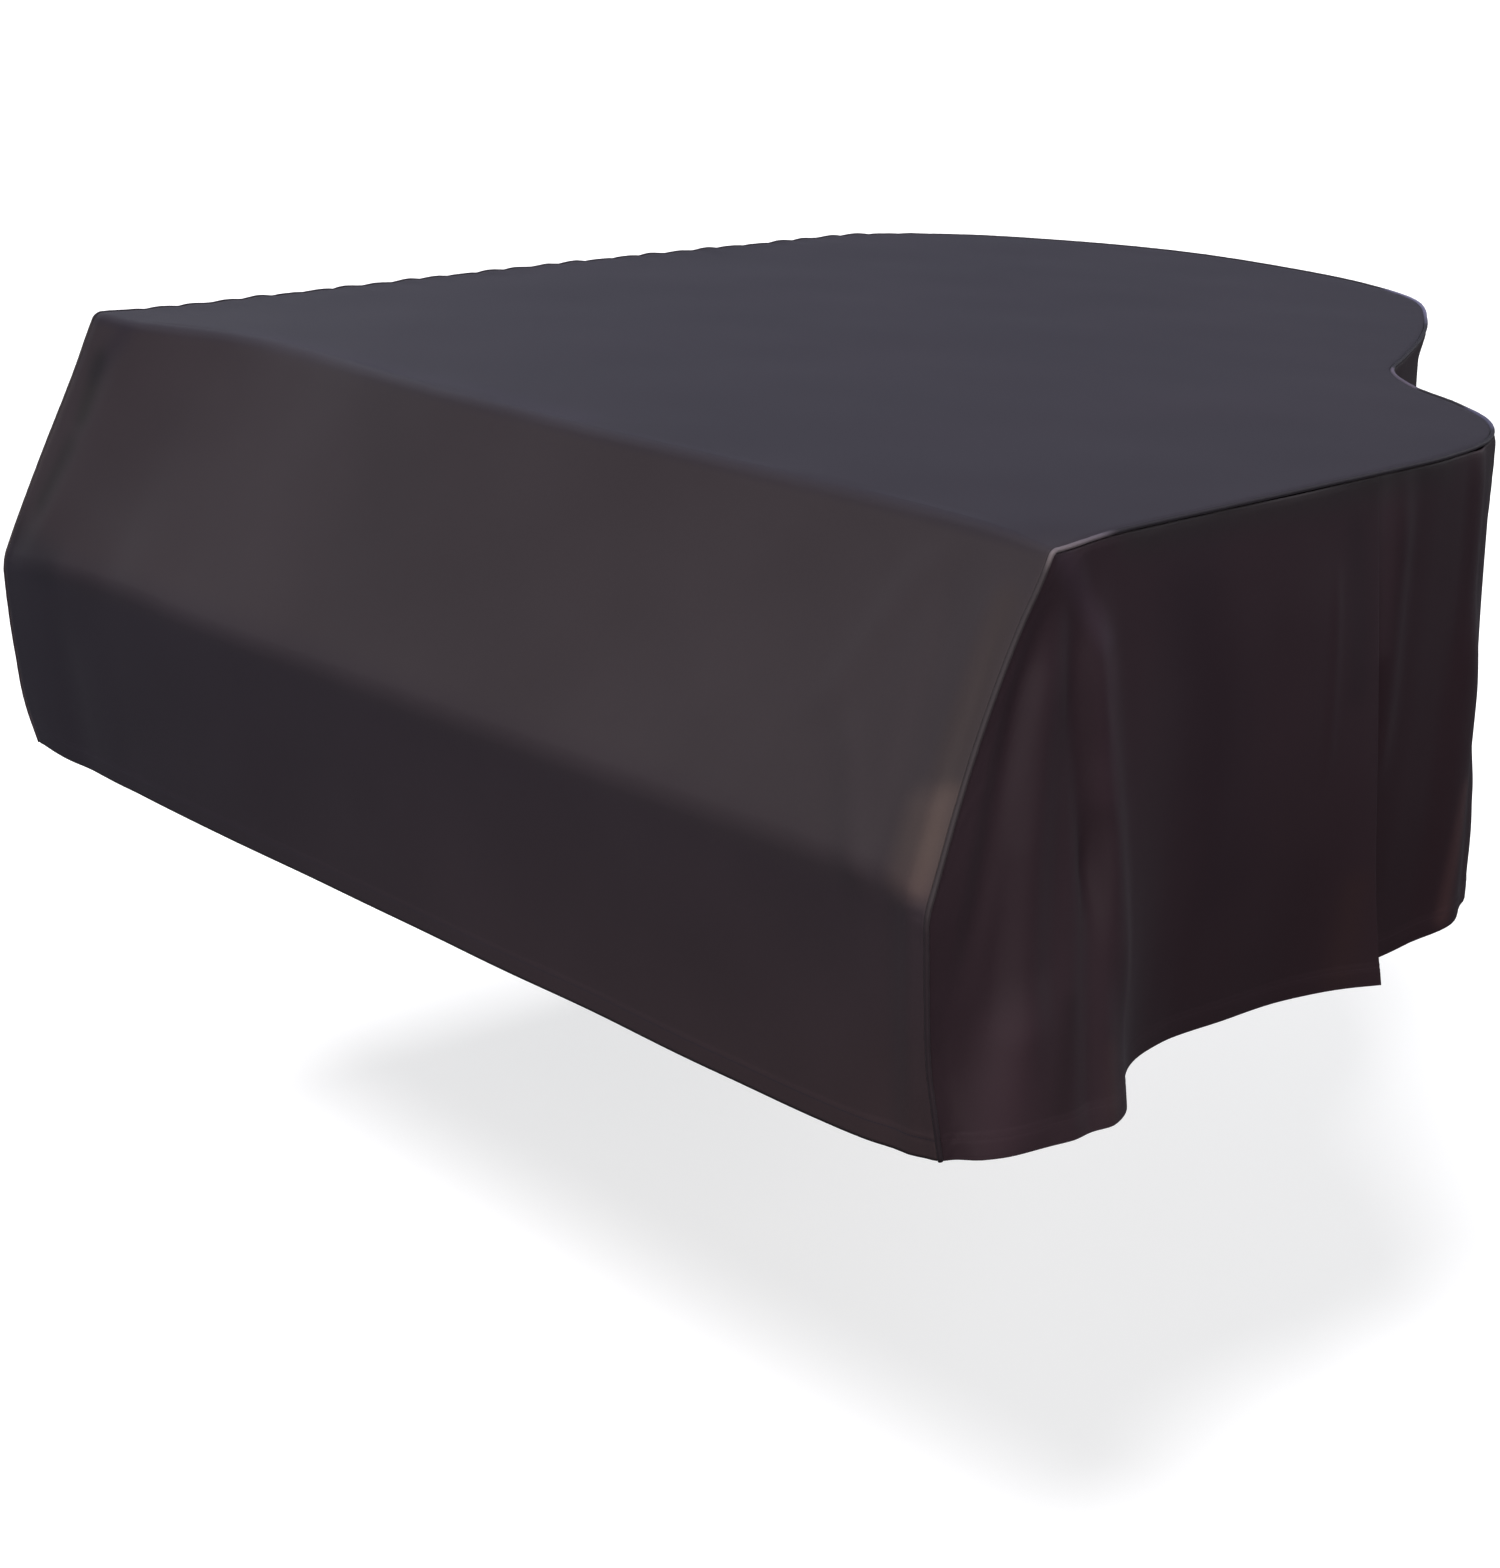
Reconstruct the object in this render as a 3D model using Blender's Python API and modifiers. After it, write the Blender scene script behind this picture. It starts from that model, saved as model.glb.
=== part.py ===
"""Fitted cloth cover for a baby grand piano, in the shape in which it hangs.

Metres, +Z up. X runs along the keyboard, with the treble side at +X, and Y runs from the
keyboard to the tail. The origin is on the underside of the top, over the keyboard's middle
line and MID_BACK behind the front face. In the tables, "back" is the distance behind
the front face, "drop" is the depth below the outer face of the top, "along" is the way
round the plan from the front face's treble corner, and "out" is how far the cloth stands
outside the plan's edge.
"""

import bmesh
import bpy
import numpy as np
from mathutils import Vector

CLOTH = 0.002
GAP = 0.0003
TREBLE_WIDTH = 0.765
BASS_WIDTH = 0.778
MID_BACK = 0.760
PIPING_RADIUS = 0.0022
PIPING_PROUD = 0.0006
PIPING_INSET = PIPING_RADIUS - PIPING_PROUD
EDGE_INSET = PIPING_INSET + PIPING_RADIUS + GAP
WALL_TOP = EDGE_INSET + 0.0004
HEM_DROP = 0.499

# The plan of the piano's lid, from the front face's treble corner round to the bass one.
# hem_out and hem_drop place the hem, and tuck is how far the skirt hangs in under the rim.
PLAN = (
    # station, x, back, hem_out, hem_drop, tuck
    ("treble corner", 0.765, 0.000, 0.000, 0.499, 0.000),
    ("treble middle", 0.765, 0.300, -0.036, 0.498, 0.000),
    ("treble lap", 0.765, 0.480, -0.044, 0.495, 0.000),
    ("treble rear", 0.765, 0.565, -0.044, 0.498, 0.000),
    ("bulge start", 0.762, 0.650, -0.034, 0.499, 0.000),
    ("bulge turn", 0.739, 0.747, -0.004, 0.479, -0.001),
    ("bulge shoulder", 0.691, 0.815, 0.013, 0.467, 0.002),
    ("bulge back", 0.613, 0.871, 0.012, 0.480, 0.001),
    ("waist start", 0.534, 0.912, -0.005, 0.495, 0.002),
    ("waist", 0.458, 0.975, -0.012, 0.502, 0.004),
    ("waist end", 0.406, 1.068, -0.006, 0.502, 0.005),
    ("bentside", 0.350, 1.170, 0.001, 0.500, 0.008),
    ("bentside rear", 0.269, 1.291, 0.003, 0.498, 0.009),
    ("tail shoulder", 0.165, 1.408, 0.004, 0.497, 0.009),
    ("tail turn", 0.042, 1.471, 0.000, 0.498, 0.006),
    ("tail", -0.120, 1.512, -0.008, 0.500, 0.005),
    ("tail crown", -0.320, 1.528, -0.003, 0.501, 0.005),
    ("tail bass end", -0.500, 1.492, 0.005, 0.499, 0.004),
    ("tail corner", -0.650, 1.422, 0.010, 0.497, 0.004),
    ("spine rear", -0.728, 1.330, 0.002, 0.498, 0.003),
    ("spine", -0.752, 1.130, -0.006, 0.500, 0.002),
    ("spine middle", -0.772, 0.850, -0.012, 0.501, 0.000),
    ("spine front", -0.778, 0.400, -0.012, 0.499, 0.000),
    ("bass corner", -0.778, 0.000, 0.000, 0.498, 0.000),
)

# The two soft creases and the hem across the front.
TOP_CREASE = (
    # x, back, bend
    (-0.765, 0.126, 0.009),
    (-0.700, 0.136, 0.011),
    (-0.640, 0.154, 0.012),
    (-0.560, 0.174, 0.012),
    (-0.400, 0.176, 0.012),
    (-0.250, 0.162, 0.011),
    (-0.100, 0.150, 0.010),
    (0.120, 0.142, 0.010),
    (0.280, 0.142, 0.010),
    (0.450, 0.142, 0.010),
    (0.560, 0.141, 0.010),
    (0.640, 0.138, 0.009),
    (0.705, 0.132, 0.008),
    (0.765, 0.126, 0.006),
)
LOWER_CREASE = (
    # x, drop, bend
    (-0.765, 0.284, 0.014),
    (-0.660, 0.271, 0.012),
    (-0.540, 0.267, 0.012),
    (-0.320, 0.272, 0.012),
    (-0.080, 0.271, 0.012),
    (0.190, 0.270, 0.012),
    (0.480, 0.268, 0.012),
    (0.640, 0.266, 0.012),
    (0.715, 0.267, 0.012),
    (0.745, 0.275, 0.012),
    (0.765, 0.288, 0.012),
)
FRONT_HEM = (
    # x, drop, back
    (-0.765, 0.499, 0.000),
    (-0.700, 0.504, 0.000),
    (-0.640, 0.504, 0.000),
    (-0.400, 0.506, 0.000),
    (0.000, 0.507, 0.000),
    (0.300, 0.507, 0.000),
    (0.500, 0.508, 0.000),
    (0.620, 0.507, 0.000),
    (0.700, 0.504, 0.002),
    (0.765, 0.500, 0.009),
)
# How far the slope sags inwards at its middle, and how much of that is downwards.
SLOPE_SAG = 0.005
SLOPE_SAG_DROP = 0.002
SLOPE_SAG_REACH = 0.2

# The bass front corner stands out over the key block and turns in at the hem.
BASS_FLARE = (
    # drop, out
    (0.000, 0.0000),
    (0.045, 0.0095),
    (0.090, 0.0180),
    (0.180, 0.0322),
    (0.279, 0.0412),
    (0.320, 0.0403),
    (0.400, 0.0290),
    (0.460, 0.0130),
    (0.499, -0.0120),
)
BASS_FLARE_REACH = 0.340
SEAM_STIFFNESS = 0.025

# The treble front corner is drawn in down the slope and stands out again at the hem.
TREBLE_LEAN = (
    # drop, out
    (0.000, 0.0000),
    (0.030, -0.0020),
    (0.060, -0.0058),
    (0.100, -0.0095),
    (0.160, -0.0120),
    (0.210, -0.0112),
    (0.260, -0.0085),
    (0.304, -0.0065),
    (0.360, -0.0048),
    (0.425, -0.0020),
    (0.461, 0.0027),
    (0.499, 0.0060),
)
TREBLE_LEAN_REACH = 0.120

# The front corners of the top: the bass one stands a little up and out, the treble one sags.
CORNERS = (
    # corner, x, back, out, up, reach
    ("bass", -0.778, 0.126, 0.0055, 0.0035, 0.055),
    ("treble", 0.765, 0.126, 0.0000, -0.0052, 0.050),
)

# The treble side's hem: out over the leg block, in behind it, and out to a free corner.
# start is the drop at which the cloth begins to leave the plan's edge.
TREBLE_HEM = (
    # back, out, start, hem_drop
    (0.000, 0.000, 0.280, 0.500),
    (0.068, 0.024, 0.240, 0.502),
    (0.120, 0.042, 0.180, 0.502),
    (0.172, 0.048, 0.120, 0.501),
    (0.205, 0.033, 0.120, 0.501),
    (0.228, 0.010, 0.120, 0.501),
    (0.265, -0.020, 0.120, 0.502),
    (0.334, -0.042, 0.100, 0.502),
    (0.420, -0.040, 0.100, 0.502),
    (0.500, -0.030, 0.100, 0.501),
    (0.556, -0.010, 0.200, 0.499),
    (0.592, 0.008, 0.260, 0.499),
)
TREBLE_REAR_TOP = 0.545
TREBLE_REAR_HEM = 0.592

# The lap where the treble side covers the front edge of the bentside panel.
LAP_WIDTH = 0.016
LAP_DEPTH = CLOTH + 2 * GAP
LAP_RUN_OUT = 0.080
SPINE_SEAM_BACK = 1.190

# Soft folds, as ridges (out above 0) and troughs, each along a straight line on the cloth.
TREBLE_FOLDS = (
    # fold, along_top, drop_top, along_low, drop_low, half_width, out
    ("ridge beside the seam", 0.142, 0.030, 0.078, 0.470, 0.032, 0.008),
    ("trough in front of the fold", 0.158, 0.010, 0.180, 0.360, 0.024, -0.006),
    ("fold from the top corner", 0.176, -0.040, 0.226, 0.460, 0.034, 0.008),
    ("trough behind the fold", 0.300, 0.040, 0.310, 0.520, 0.070, -0.0045),
    ("soft rise", 0.470, 0.040, 0.480, 0.420, 0.070, 0.002),
    ("crease behind the leg block", 0.188, 0.200, 0.142, 0.560, 0.026, -0.0075),
)
SKIRT_FOLDS = (
    ("ridge behind the lap", 0.605, 0.020, 0.630, 0.420, 0.030, 0.006),
    ("pleat at the bulge", 0.668, 0.010, 0.700, 0.260, 0.016, 0.005),
    ("ridge on the bulge", 0.730, 0.120, 0.740, 0.640, 0.050, 0.010),
    ("trough on the bulge", 0.850, 0.060, 0.860, 0.640, 0.060, -0.008),
    ("ridge in the waist", 1.060, 0.080, 1.040, 0.640, 0.060, 0.008),
    ("trough on the bentside", 1.250, 0.060, 1.280, 0.640, 0.090, -0.008),
    ("ridge on the bentside", 1.450, 0.120, 1.430, 0.640, 0.080, 0.009),
    ("trough at the tail", 1.720, 0.060, 1.740, 0.640, 0.090, -0.007),
    ("ridge at the tail", 1.940, 0.100, 1.960, 0.640, 0.090, 0.009),
    ("trough at the tail corner", 2.180, 0.060, 2.160, 0.640, 0.080, -0.006),
)
SPINE_FOLDS = (
    ("puff beside the bass seam", 0.165, 0.000, 0.045, 0.285, 0.045, 0.020),
    ("ridge on the spine", 0.520, 0.100, 0.550, 0.640, 0.110, 0.007),
    ("trough on the spine", 0.780, 0.060, 0.740, 0.640, 0.110, -0.006),
    ("ridge at the rear", 1.030, 0.080, 1.050, 0.640, 0.090, 0.007),
)

# How deep under the rim the tuck is reached.
RIM_DEPTH = 0.045

# Rows of a side panel, as shares of the way from the top edge down to the hem.
WALL_ROWS = (0.0, 0.022, 0.055, 0.10, 0.18, 0.28, 0.38, 0.47, 0.54, 0.575, 0.61,
             0.70, 0.80, 0.90, 1.0)

# Rows of the front strip, as places down the front profile, and of the top, as stations
# round the treble edge, closest where the edge turns.
FRONT_ROWS = (4.0, 3.8, 3.6, 3.4, 3.2, 3.0, 2.75, 2.5, 2.25, 2.0, 1.75, 1.5, 1.25,
              1.0, 0.75, 0.5, 0.25, 0.0)
TOP_ROW_RUNS = (
    # from station, to station, rows
    ("treble middle", "treble rear", 3),
    ("treble rear", "waist end", 16),
    ("waist end", "tail shoulder", 8),
)

# Columns of the top and front strip and of the side panels.
TOP_COLUMNS = 26
TREBLE_COLUMNS = 38
SKIRT_COLUMNS = 60
SPINE_COLUMNS = 26

PLAN_STEPS = 1200
PROFILE_STEPS = 160
CLOTH_ROUGHNESS = 0.55
PIPING_ROUGHNESS = 0.45


def column(table, index):
    return np.array([row[index] for row in table], float)


def smooth_value(places, values, at):
    """A smooth curve through a table's values, with its ends held beyond the table."""
    slopes = np.gradient(values, places)
    at = min(max(at, places[0]), places[-1])
    i = min(int(np.searchsorted(places, at, side="right")) - 1, len(places) - 2)
    width = places[i + 1] - places[i]
    t = (at - places[i]) / width
    return (
        values[i] * (1 + 2 * t) * (1 - t) ** 2
        + values[i + 1] * t * t * (3 - 2 * t)
        + slopes[i] * width * t * (1 - t) ** 2
        - slopes[i + 1] * width * t * t * (1 - t)
    )


def ramp(value):
    """0 up to 0, 1 from 1 on, with a soft rise between."""
    t = min(max(value, 0.0), 1.0)
    return t * t * (3 - 2 * t)


def trace_plan():
    """The plan's stations joined by a smooth curve: x, back and along at close steps."""
    station_x, station_back = column(PLAN, 1), column(PLAN, 2)
    chords = np.hypot(np.diff(station_x), np.diff(station_back))
    chords = np.concatenate([[0], np.cumsum(chords)])
    fine = np.linspace(0, chords[-1], PLAN_STEPS)
    x = np.array([smooth_value(chords, station_x, at) for at in fine])
    back = np.array([smooth_value(chords, station_back, at) for at in fine])
    along = np.concatenate([[0], np.cumsum(np.hypot(np.diff(x), np.diff(back)))])
    return x, back, along, np.interp(chords, fine, along)


PLAN_X, PLAN_BACK, PLAN_ALONG, STATIONS = trace_plan()
PLAN_LENGTH = float(PLAN_ALONG[-1])


def station(name):
    """The way round the plan to a named station."""
    return float(STATIONS[[row[0] for row in PLAN].index(name)])


def station_value(index, along):
    return smooth_value(STATIONS, column(PLAN, index), along)


def table_value(table, index, at):
    """A column of a table whose first column is the place along it."""
    return smooth_value(column(table, 0), column(table, index), at)


def plan_point(along, inset=0.0):
    """A point of the plan's edge, moved in by inset, and the way out from it."""
    step = 0.004
    x = np.interp([along, along - step, along + step], PLAN_ALONG, PLAN_X)
    back = np.interp([along, along - step, along + step], PLAN_ALONG, PLAN_BACK)
    outward = Vector((back[2] - back[1], x[1] - x[2])).normalized()
    return Vector((x[0], back[0])) - outward * inset, outward


def along_at_back(back, from_treble):
    """The way round the plan to a point of a long side that lies this far back."""
    third = PLAN_STEPS // 3
    if from_treble:
        return float(np.interp(back, PLAN_BACK[:third], PLAN_ALONG[:third]))
    return float(np.interp(-back, -PLAN_BACK[-third:], PLAN_ALONG[-third:]))


def place(x, back, drop):
    """A point in the part's frame, with the top's front corners as they stand."""
    moved, raised = x, CLOTH - drop
    for _, corner_x, corner_back, out, up, reach in CORNERS:
        away = Vector((x - corner_x, back - corner_back, drop)).length / reach
        near = float(np.exp(-away * away))
        moved += near * float(np.copysign(out, corner_x))
        raised += near * up
    return Vector((moved, back - MID_BACK, raised))


def front_profile(x, w):
    """(back, drop) on the front at x: w is 0-1 round the top crease, 1-2 down the slope,
    2-3 round the lower crease and 3-4 down the front drop."""
    crease_back, crease_bend = (table_value(TOP_CREASE, index, x) for index in (1, 2))
    lower_drop, lower_bend = (table_value(LOWER_CREASE, index, x) for index in (1, 2))
    top = Vector((crease_back, 0.0))
    low = Vector((0.0, lower_drop))
    hem_drop, hem_back = (table_value(FRONT_HEM, index, x) for index in (1, 2))
    down = (low - top).normalized()
    top_turn = (top + Vector((crease_bend, 0.0)), top, top + down * crease_bend)
    low_turn = (low - down * lower_bend, low, low + Vector((0.0, lower_bend)))
    section = min(int(w), 3)
    t = w - section
    if section == 1:
        return top_turn[2].lerp(low_turn[0], t)
    if section == 3:
        return low_turn[2].lerp(Vector((0.0, hem_drop)), t) + Vector((hem_back * t ** 3, 0.0))
    start, corner, end = top_turn if section == 0 else low_turn
    return start * (1 - t) ** 2 + corner * 2 * t * (1 - t) + end * t * t


def inset_profile(x, inset):
    """The front profile at x moved inwards, as close points from the top to the hem."""
    points = [front_profile(x, w) for w in np.linspace(0, 4, PROFILE_STEPS + 1)]
    moved = []
    for i, point in enumerate(points):
        run = points[min(i + 1, PROFILE_STEPS)] - points[max(i - 1, 0)]
        moved.append(point + Vector((run.y, -run.x)).normalized() * inset)
    return moved


def back_on(profile, drop):
    return float(np.interp(drop, [p.y for p in profile], [p.x for p in profile]))


def seam_out(drop, bass):
    """How far a front corner stands outside the plan at a drop."""
    return table_value(BASS_FLARE if bass else TREBLE_LEAN, 1, drop)


def half_span(drop, bass, inset):
    """The way from the middle to the bass or the treble front corner, less an inset."""
    step = 0.002
    lean = (seam_out(drop + step, bass) - seam_out(drop - step, bass)) / (2 * step)
    width = BASS_WIDTH if bass else TREBLE_WIDTH
    return width + seam_out(drop, bass) - inset * (1 + lean * lean) ** 0.5


def fold_out(folds, along, drop):
    """How far the folds of a table bring the cloth out at a point of it."""
    total = 0.0
    for _, along_top, drop_top, along_low, drop_low, half_width, out in folds:
        share = (drop - drop_top) / (drop_low - drop_top)
        away = (along - along_top - (along_low - along_top) * share) / half_width
        if 0 < share < 1 and abs(away) < 1:
            total += out * ramp(share * 4) * ramp((1 - share) * 4) * (1 - ramp(abs(away)))
    return total


TREBLE_TOP_FRONT = along_at_back(front_profile(TREBLE_WIDTH, 0).x, True)
BASS_TOP_FRONT = along_at_back(front_profile(-BASS_WIDTH, 0).x, False)


def top_rows():
    """The way round the plan to each row's treble end."""
    places = [TREBLE_TOP_FRONT, (TREBLE_TOP_FRONT + station("treble middle")) / 2]
    for start, end, count in TOP_ROW_RUNS:
        places += [station(start) + (station(end) - station(start)) * i / count for i in range(count)]
    return places + [station(TOP_ROW_RUNS[-1][1])]


TREBLE_ROWS = top_rows()
BASS_ROWS = np.linspace(BASS_TOP_FRONT, station("tail corner"), len(TREBLE_ROWS))
TAIL_COLUMNS = np.linspace(station("tail corner"), station("tail shoulder"), TOP_COLUMNS + 1)

TREBLE_EDGE = inset_profile(TREBLE_WIDTH, EDGE_INSET)
BASS_EDGE = inset_profile(-BASS_WIDTH, EDGE_INSET)


def wall_share(v):
    """The share of the way down a side panel for v from 0 at the hem to 1 at the top."""
    return float(np.interp((1 - v) * (len(WALL_ROWS) - 1), range(len(WALL_ROWS)), WALL_ROWS))


def treble_point(u, v):
    """The treble side: u runs from the front seam to the lap, v from the hem to the top."""
    share = wall_share(v)
    hem = table_value(TREBLE_HEM, 3, u * TREBLE_REAR_HEM)
    drop = WALL_TOP + (hem - WALL_TOP) * share
    rear = TREBLE_REAR_TOP + (TREBLE_REAR_HEM - TREBLE_REAR_TOP) * share
    front = back_on(TREBLE_EDGE, drop)
    back = front + (rear - front) * u
    hem_out, start = (table_value(TREBLE_HEM, index, back) for index in (1, 2))
    out = hem_out * ramp((drop - start) / (HEM_DROP - start) * 0.5) * 2
    out += fold_out(TREBLE_FOLDS, back, drop)
    out *= ramp((back - front) / SEAM_STIFFNESS)
    out += seam_out(drop, False) * (1 - ramp((back - front) / TREBLE_LEAN_REACH))
    return place(TREBLE_WIDTH + out, back, drop)


def skirt_out(along, drop, hem):
    """How far a side panel stands outside the plan at a drop, its folds left out."""
    tuck = station_value(5, along)
    return (station_value(3, along) + tuck) * (drop / hem) ** 1.5 - tuck * ramp(drop / RIM_DEPTH)


def skirt_point(u, v):
    """The bentside and tail: u runs from the lap to the spine seam, v up to the top."""
    start = along_at_back(TREBLE_REAR_TOP - LAP_WIDTH, True)
    end = along_at_back(SPINE_SEAM_BACK, False) - GAP
    along = start + (end - start) * u
    hem = station_value(4, along)
    drop = WALL_TOP + (hem - WALL_TOP) * wall_share(v)
    out = skirt_out(along, drop, hem) + fold_out(SKIRT_FOLDS, along, drop)
    out -= LAP_DEPTH * (1 - ramp((along - start - 2 * LAP_WIDTH) / LAP_RUN_OUT))
    point, outward = plan_point(along)
    point += outward * out
    return place(point.x, point.y, drop)


def spine_point(u, v):
    """The spine side: u runs from the tail seam to the bass front seam."""
    start = along_at_back(SPINE_SEAM_BACK, False)
    share = wall_share(v)
    hem = station_value(4, start + (PLAN_LENGTH - start) * u)
    drop = WALL_TOP + (hem - WALL_TOP) * share
    front = back_on(BASS_EDGE, drop)
    along = start + (PLAN_LENGTH - front - start) * u
    behind = PLAN_LENGTH - front - along
    out = skirt_out(along, drop, hem) * ramp(behind / BASS_FLARE_REACH)
    out += fold_out(SPINE_FOLDS, PLAN_LENGTH - along, drop) * ramp(behind / SEAM_STIFFNESS)
    out += seam_out(drop, True) * (1 - ramp(behind / BASS_FLARE_REACH))
    point, outward = plan_point(along)
    point += outward * out
    return place(point.x, point.y, drop)


def front_point(u, w):
    """The front strip between its side seams, at a place w on its profile."""
    profile = front_profile((BASS_WIDTH + TREBLE_WIDTH) * u - BASS_WIDTH, w)
    bass = half_span(profile.y, True, EDGE_INSET)
    treble = half_span(profile.y, False, EDGE_INSET)
    sag = 0.0
    if 1 < w < 2:
        sag = (1 - (2 * w - 3) ** 2) * ramp(min(u, 1 - u) / SLOPE_SAG_REACH)
    across = -bass + (bass + treble) * u
    return place(across, profile.x + SLOPE_SAG * sag, profile.y + SLOPE_SAG_DROP * sag)


def top_point(u, row):
    """The top, spanned between the crease, the two long edges and the tail."""
    v = row / (len(TREBLE_ROWS) - 1)
    tail_along = np.interp(u * TOP_COLUMNS, range(TOP_COLUMNS + 1), TAIL_COLUMNS)
    bass_end, tail, treble_end, treble, bass = (
        plan_point(along, EDGE_INSET)[0]
        for along in (TAIL_COLUMNS[0], tail_along, TAIL_COLUMNS[-1], TREBLE_ROWS[row], BASS_ROWS[row])
    )
    first, crease, last = (
        Vector((point.x, point.y + MID_BACK))
        for point in (front_point(share, 0.0) for share in (0, u, 1))
    )
    edges = crease * (1 - v) + tail * v + bass * (1 - u) + treble * u
    corners = (first * (1 - u) + last * u) * (1 - v) + (bass_end * (1 - u) + treble_end * u) * v
    point = edges - corners
    return place(point.x, point.y, 0.0)


def strip_point(u, v):
    """The one cloth of front, slope and top: v runs from the front hem to the tail."""
    row = round(v * (len(FRONT_ROWS) + len(TREBLE_ROWS) - 2))
    if row >= len(FRONT_ROWS):
        return top_point(u, row - len(FRONT_ROWS) + 1)
    return front_point(u, FRONT_ROWS[row])


def material(name, colour, roughness):
    made = bpy.data.materials.new(name)
    made.use_nodes = True
    shader = made.node_tree.nodes["Principled BSDF"]
    shader.inputs["Base Color"].default_value = (*colour, 1.0)
    shader.inputs["Roughness"].default_value = roughness
    shader.inputs["Metallic"].default_value = 0.0
    return made


def finish(name, data, colour, roughness, collection):
    made = bpy.data.objects.new(name, data)
    data.materials.append(material(name + "_cloth", colour, roughness))
    collection.objects.link(made)
    return made


def panel(name, columns, rows, shape, colour, collection):
    """An open grid laid on a shape of (u, v), thickened inwards to the cloth."""
    mesh = bmesh.new()
    bmesh.ops.create_grid(mesh, x_segments=columns, y_segments=rows, size=0.5)
    for vert in mesh.verts:
        vert.co = shape(vert.co.x + 0.5, vert.co.y + 0.5)
    data = bpy.data.meshes.new(name)
    mesh.to_mesh(data)
    mesh.free()
    data.shade_smooth()
    made = finish(name, data, colour, CLOTH_ROUGHNESS, collection)
    solid = made.modifiers.new("thickness", "SOLIDIFY")
    solid.thickness = CLOTH
    solid.offset = -1.0
    solid.use_even_offset = True
    return made


def piping_path():
    """The corded seam: up one front corner and slope, round the lid, and down the other."""
    sides = []
    step = 0.01
    for side, bass in ((-1, True), (1, False)):
        run = []
        width = BASS_WIDTH if bass else TREBLE_WIDTH
        for w in FRONT_ROWS:
            places = (w, max(w - step, 0), min(w + step, 4))
            here, above, below = (front_profile(side * width, at) for at in places)
            inwards = Vector((below.y - above.y, above.x - below.x)).normalized()
            inside = here + inwards * PIPING_INSET
            run.append(place(side * half_span(here.y, bass, PIPING_INSET), inside.x, inside.y))
        sides.append(run)
    round_lid = [*BASS_ROWS[1:], *TAIL_COLUMNS[1:-1], *TREBLE_ROWS[:0:-1]]
    lid = [plan_point(along, PIPING_INSET)[0] for along in round_lid]
    return sides[0] + [place(point.x, point.y, PIPING_INSET) for point in lid] + sides[1][::-1]


def piping(name, colour, collection):
    data = bpy.data.curves.new(name, "CURVE")
    data.dimensions = "3D"
    data.bevel_depth = PIPING_RADIUS
    data.bevel_resolution = 1
    data.use_fill_caps = True
    route = piping_path()
    spline = data.splines.new("POLY")
    spline.points.add(len(route) - 1)
    for point, place_at in zip(spline.points, route):
        point.co = (*place_at, 1.0)
    return finish(name, data, colour, PIPING_ROUGHNESS, collection)


def main():
    for existing in list(bpy.data.objects):
        bpy.data.objects.remove(existing, do_unlink=True)
    cover = bpy.data.collections.new("grand_piano_cover")
    bpy.context.scene.collection.children.link(cover)
    rows = len(WALL_ROWS) - 1
    strip_rows = len(FRONT_ROWS) + len(TREBLE_ROWS) - 2
    panel("top_front_panel", TOP_COLUMNS, strip_rows, strip_point, (0.060, 0.056, 0.062), cover)
    panel("treble_side_panel", TREBLE_COLUMNS, rows, treble_point, (0.030, 0.026, 0.028), cover)
    panel("bentside_tail_panel", SKIRT_COLUMNS, rows, skirt_point, (0.032, 0.029, 0.031), cover)
    panel("spine_side_panel", SPINE_COLUMNS, rows, spine_point, (0.034, 0.031, 0.034), cover)
    piping("seam_piping", (0.045, 0.042, 0.045), cover)


main()
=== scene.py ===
"""Looks of a fitted cloth cover for a baby grand piano.

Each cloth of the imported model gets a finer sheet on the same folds, with its seams,
puckers and turned hem. "back" is the distance behind the front face, "drop" the depth
below the top, "along" the way round the plan from the treble front corner, and "out" how
far a sheet stands outside the plan's edge, all in metres.
"""

import math

import bmesh
import bpy
import numpy as np
from mathutils.kdtree import KDTree
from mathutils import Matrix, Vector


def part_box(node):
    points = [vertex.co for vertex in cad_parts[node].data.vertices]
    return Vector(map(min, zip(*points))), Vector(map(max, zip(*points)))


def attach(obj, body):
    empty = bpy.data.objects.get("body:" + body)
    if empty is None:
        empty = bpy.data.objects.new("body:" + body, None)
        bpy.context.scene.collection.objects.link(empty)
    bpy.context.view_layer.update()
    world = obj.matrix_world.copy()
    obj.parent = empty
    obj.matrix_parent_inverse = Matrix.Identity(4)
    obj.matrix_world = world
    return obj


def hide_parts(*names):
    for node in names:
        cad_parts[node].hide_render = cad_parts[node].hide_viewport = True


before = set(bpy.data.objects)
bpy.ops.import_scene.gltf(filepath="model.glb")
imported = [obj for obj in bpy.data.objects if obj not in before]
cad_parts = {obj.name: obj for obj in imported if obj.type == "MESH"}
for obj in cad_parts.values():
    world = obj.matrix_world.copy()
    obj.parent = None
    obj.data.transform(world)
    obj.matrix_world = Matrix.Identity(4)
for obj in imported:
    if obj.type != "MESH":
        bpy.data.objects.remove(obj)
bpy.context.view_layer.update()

TURN = 2 * math.pi

# The cloth's thickness, and the places of the front face, the top and the floor.
CLOTH = 0.002
FRONT_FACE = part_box("top_front_panel")[0].y
TOP_FACE = CLOTH
FLOOR = -1.023

# The camera, whose turn and dip below the level are in degrees.
CAMERA_PLACE = (2.2553, FRONT_FACE - 1.4869, FLOOR + 1.5420)
CAMERA_TURN = 49.019
CAMERA_DIP = 18.19
LENS = 64.92
SENSOR_WIDTH = 36.0
CLIP_END = 100

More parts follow.
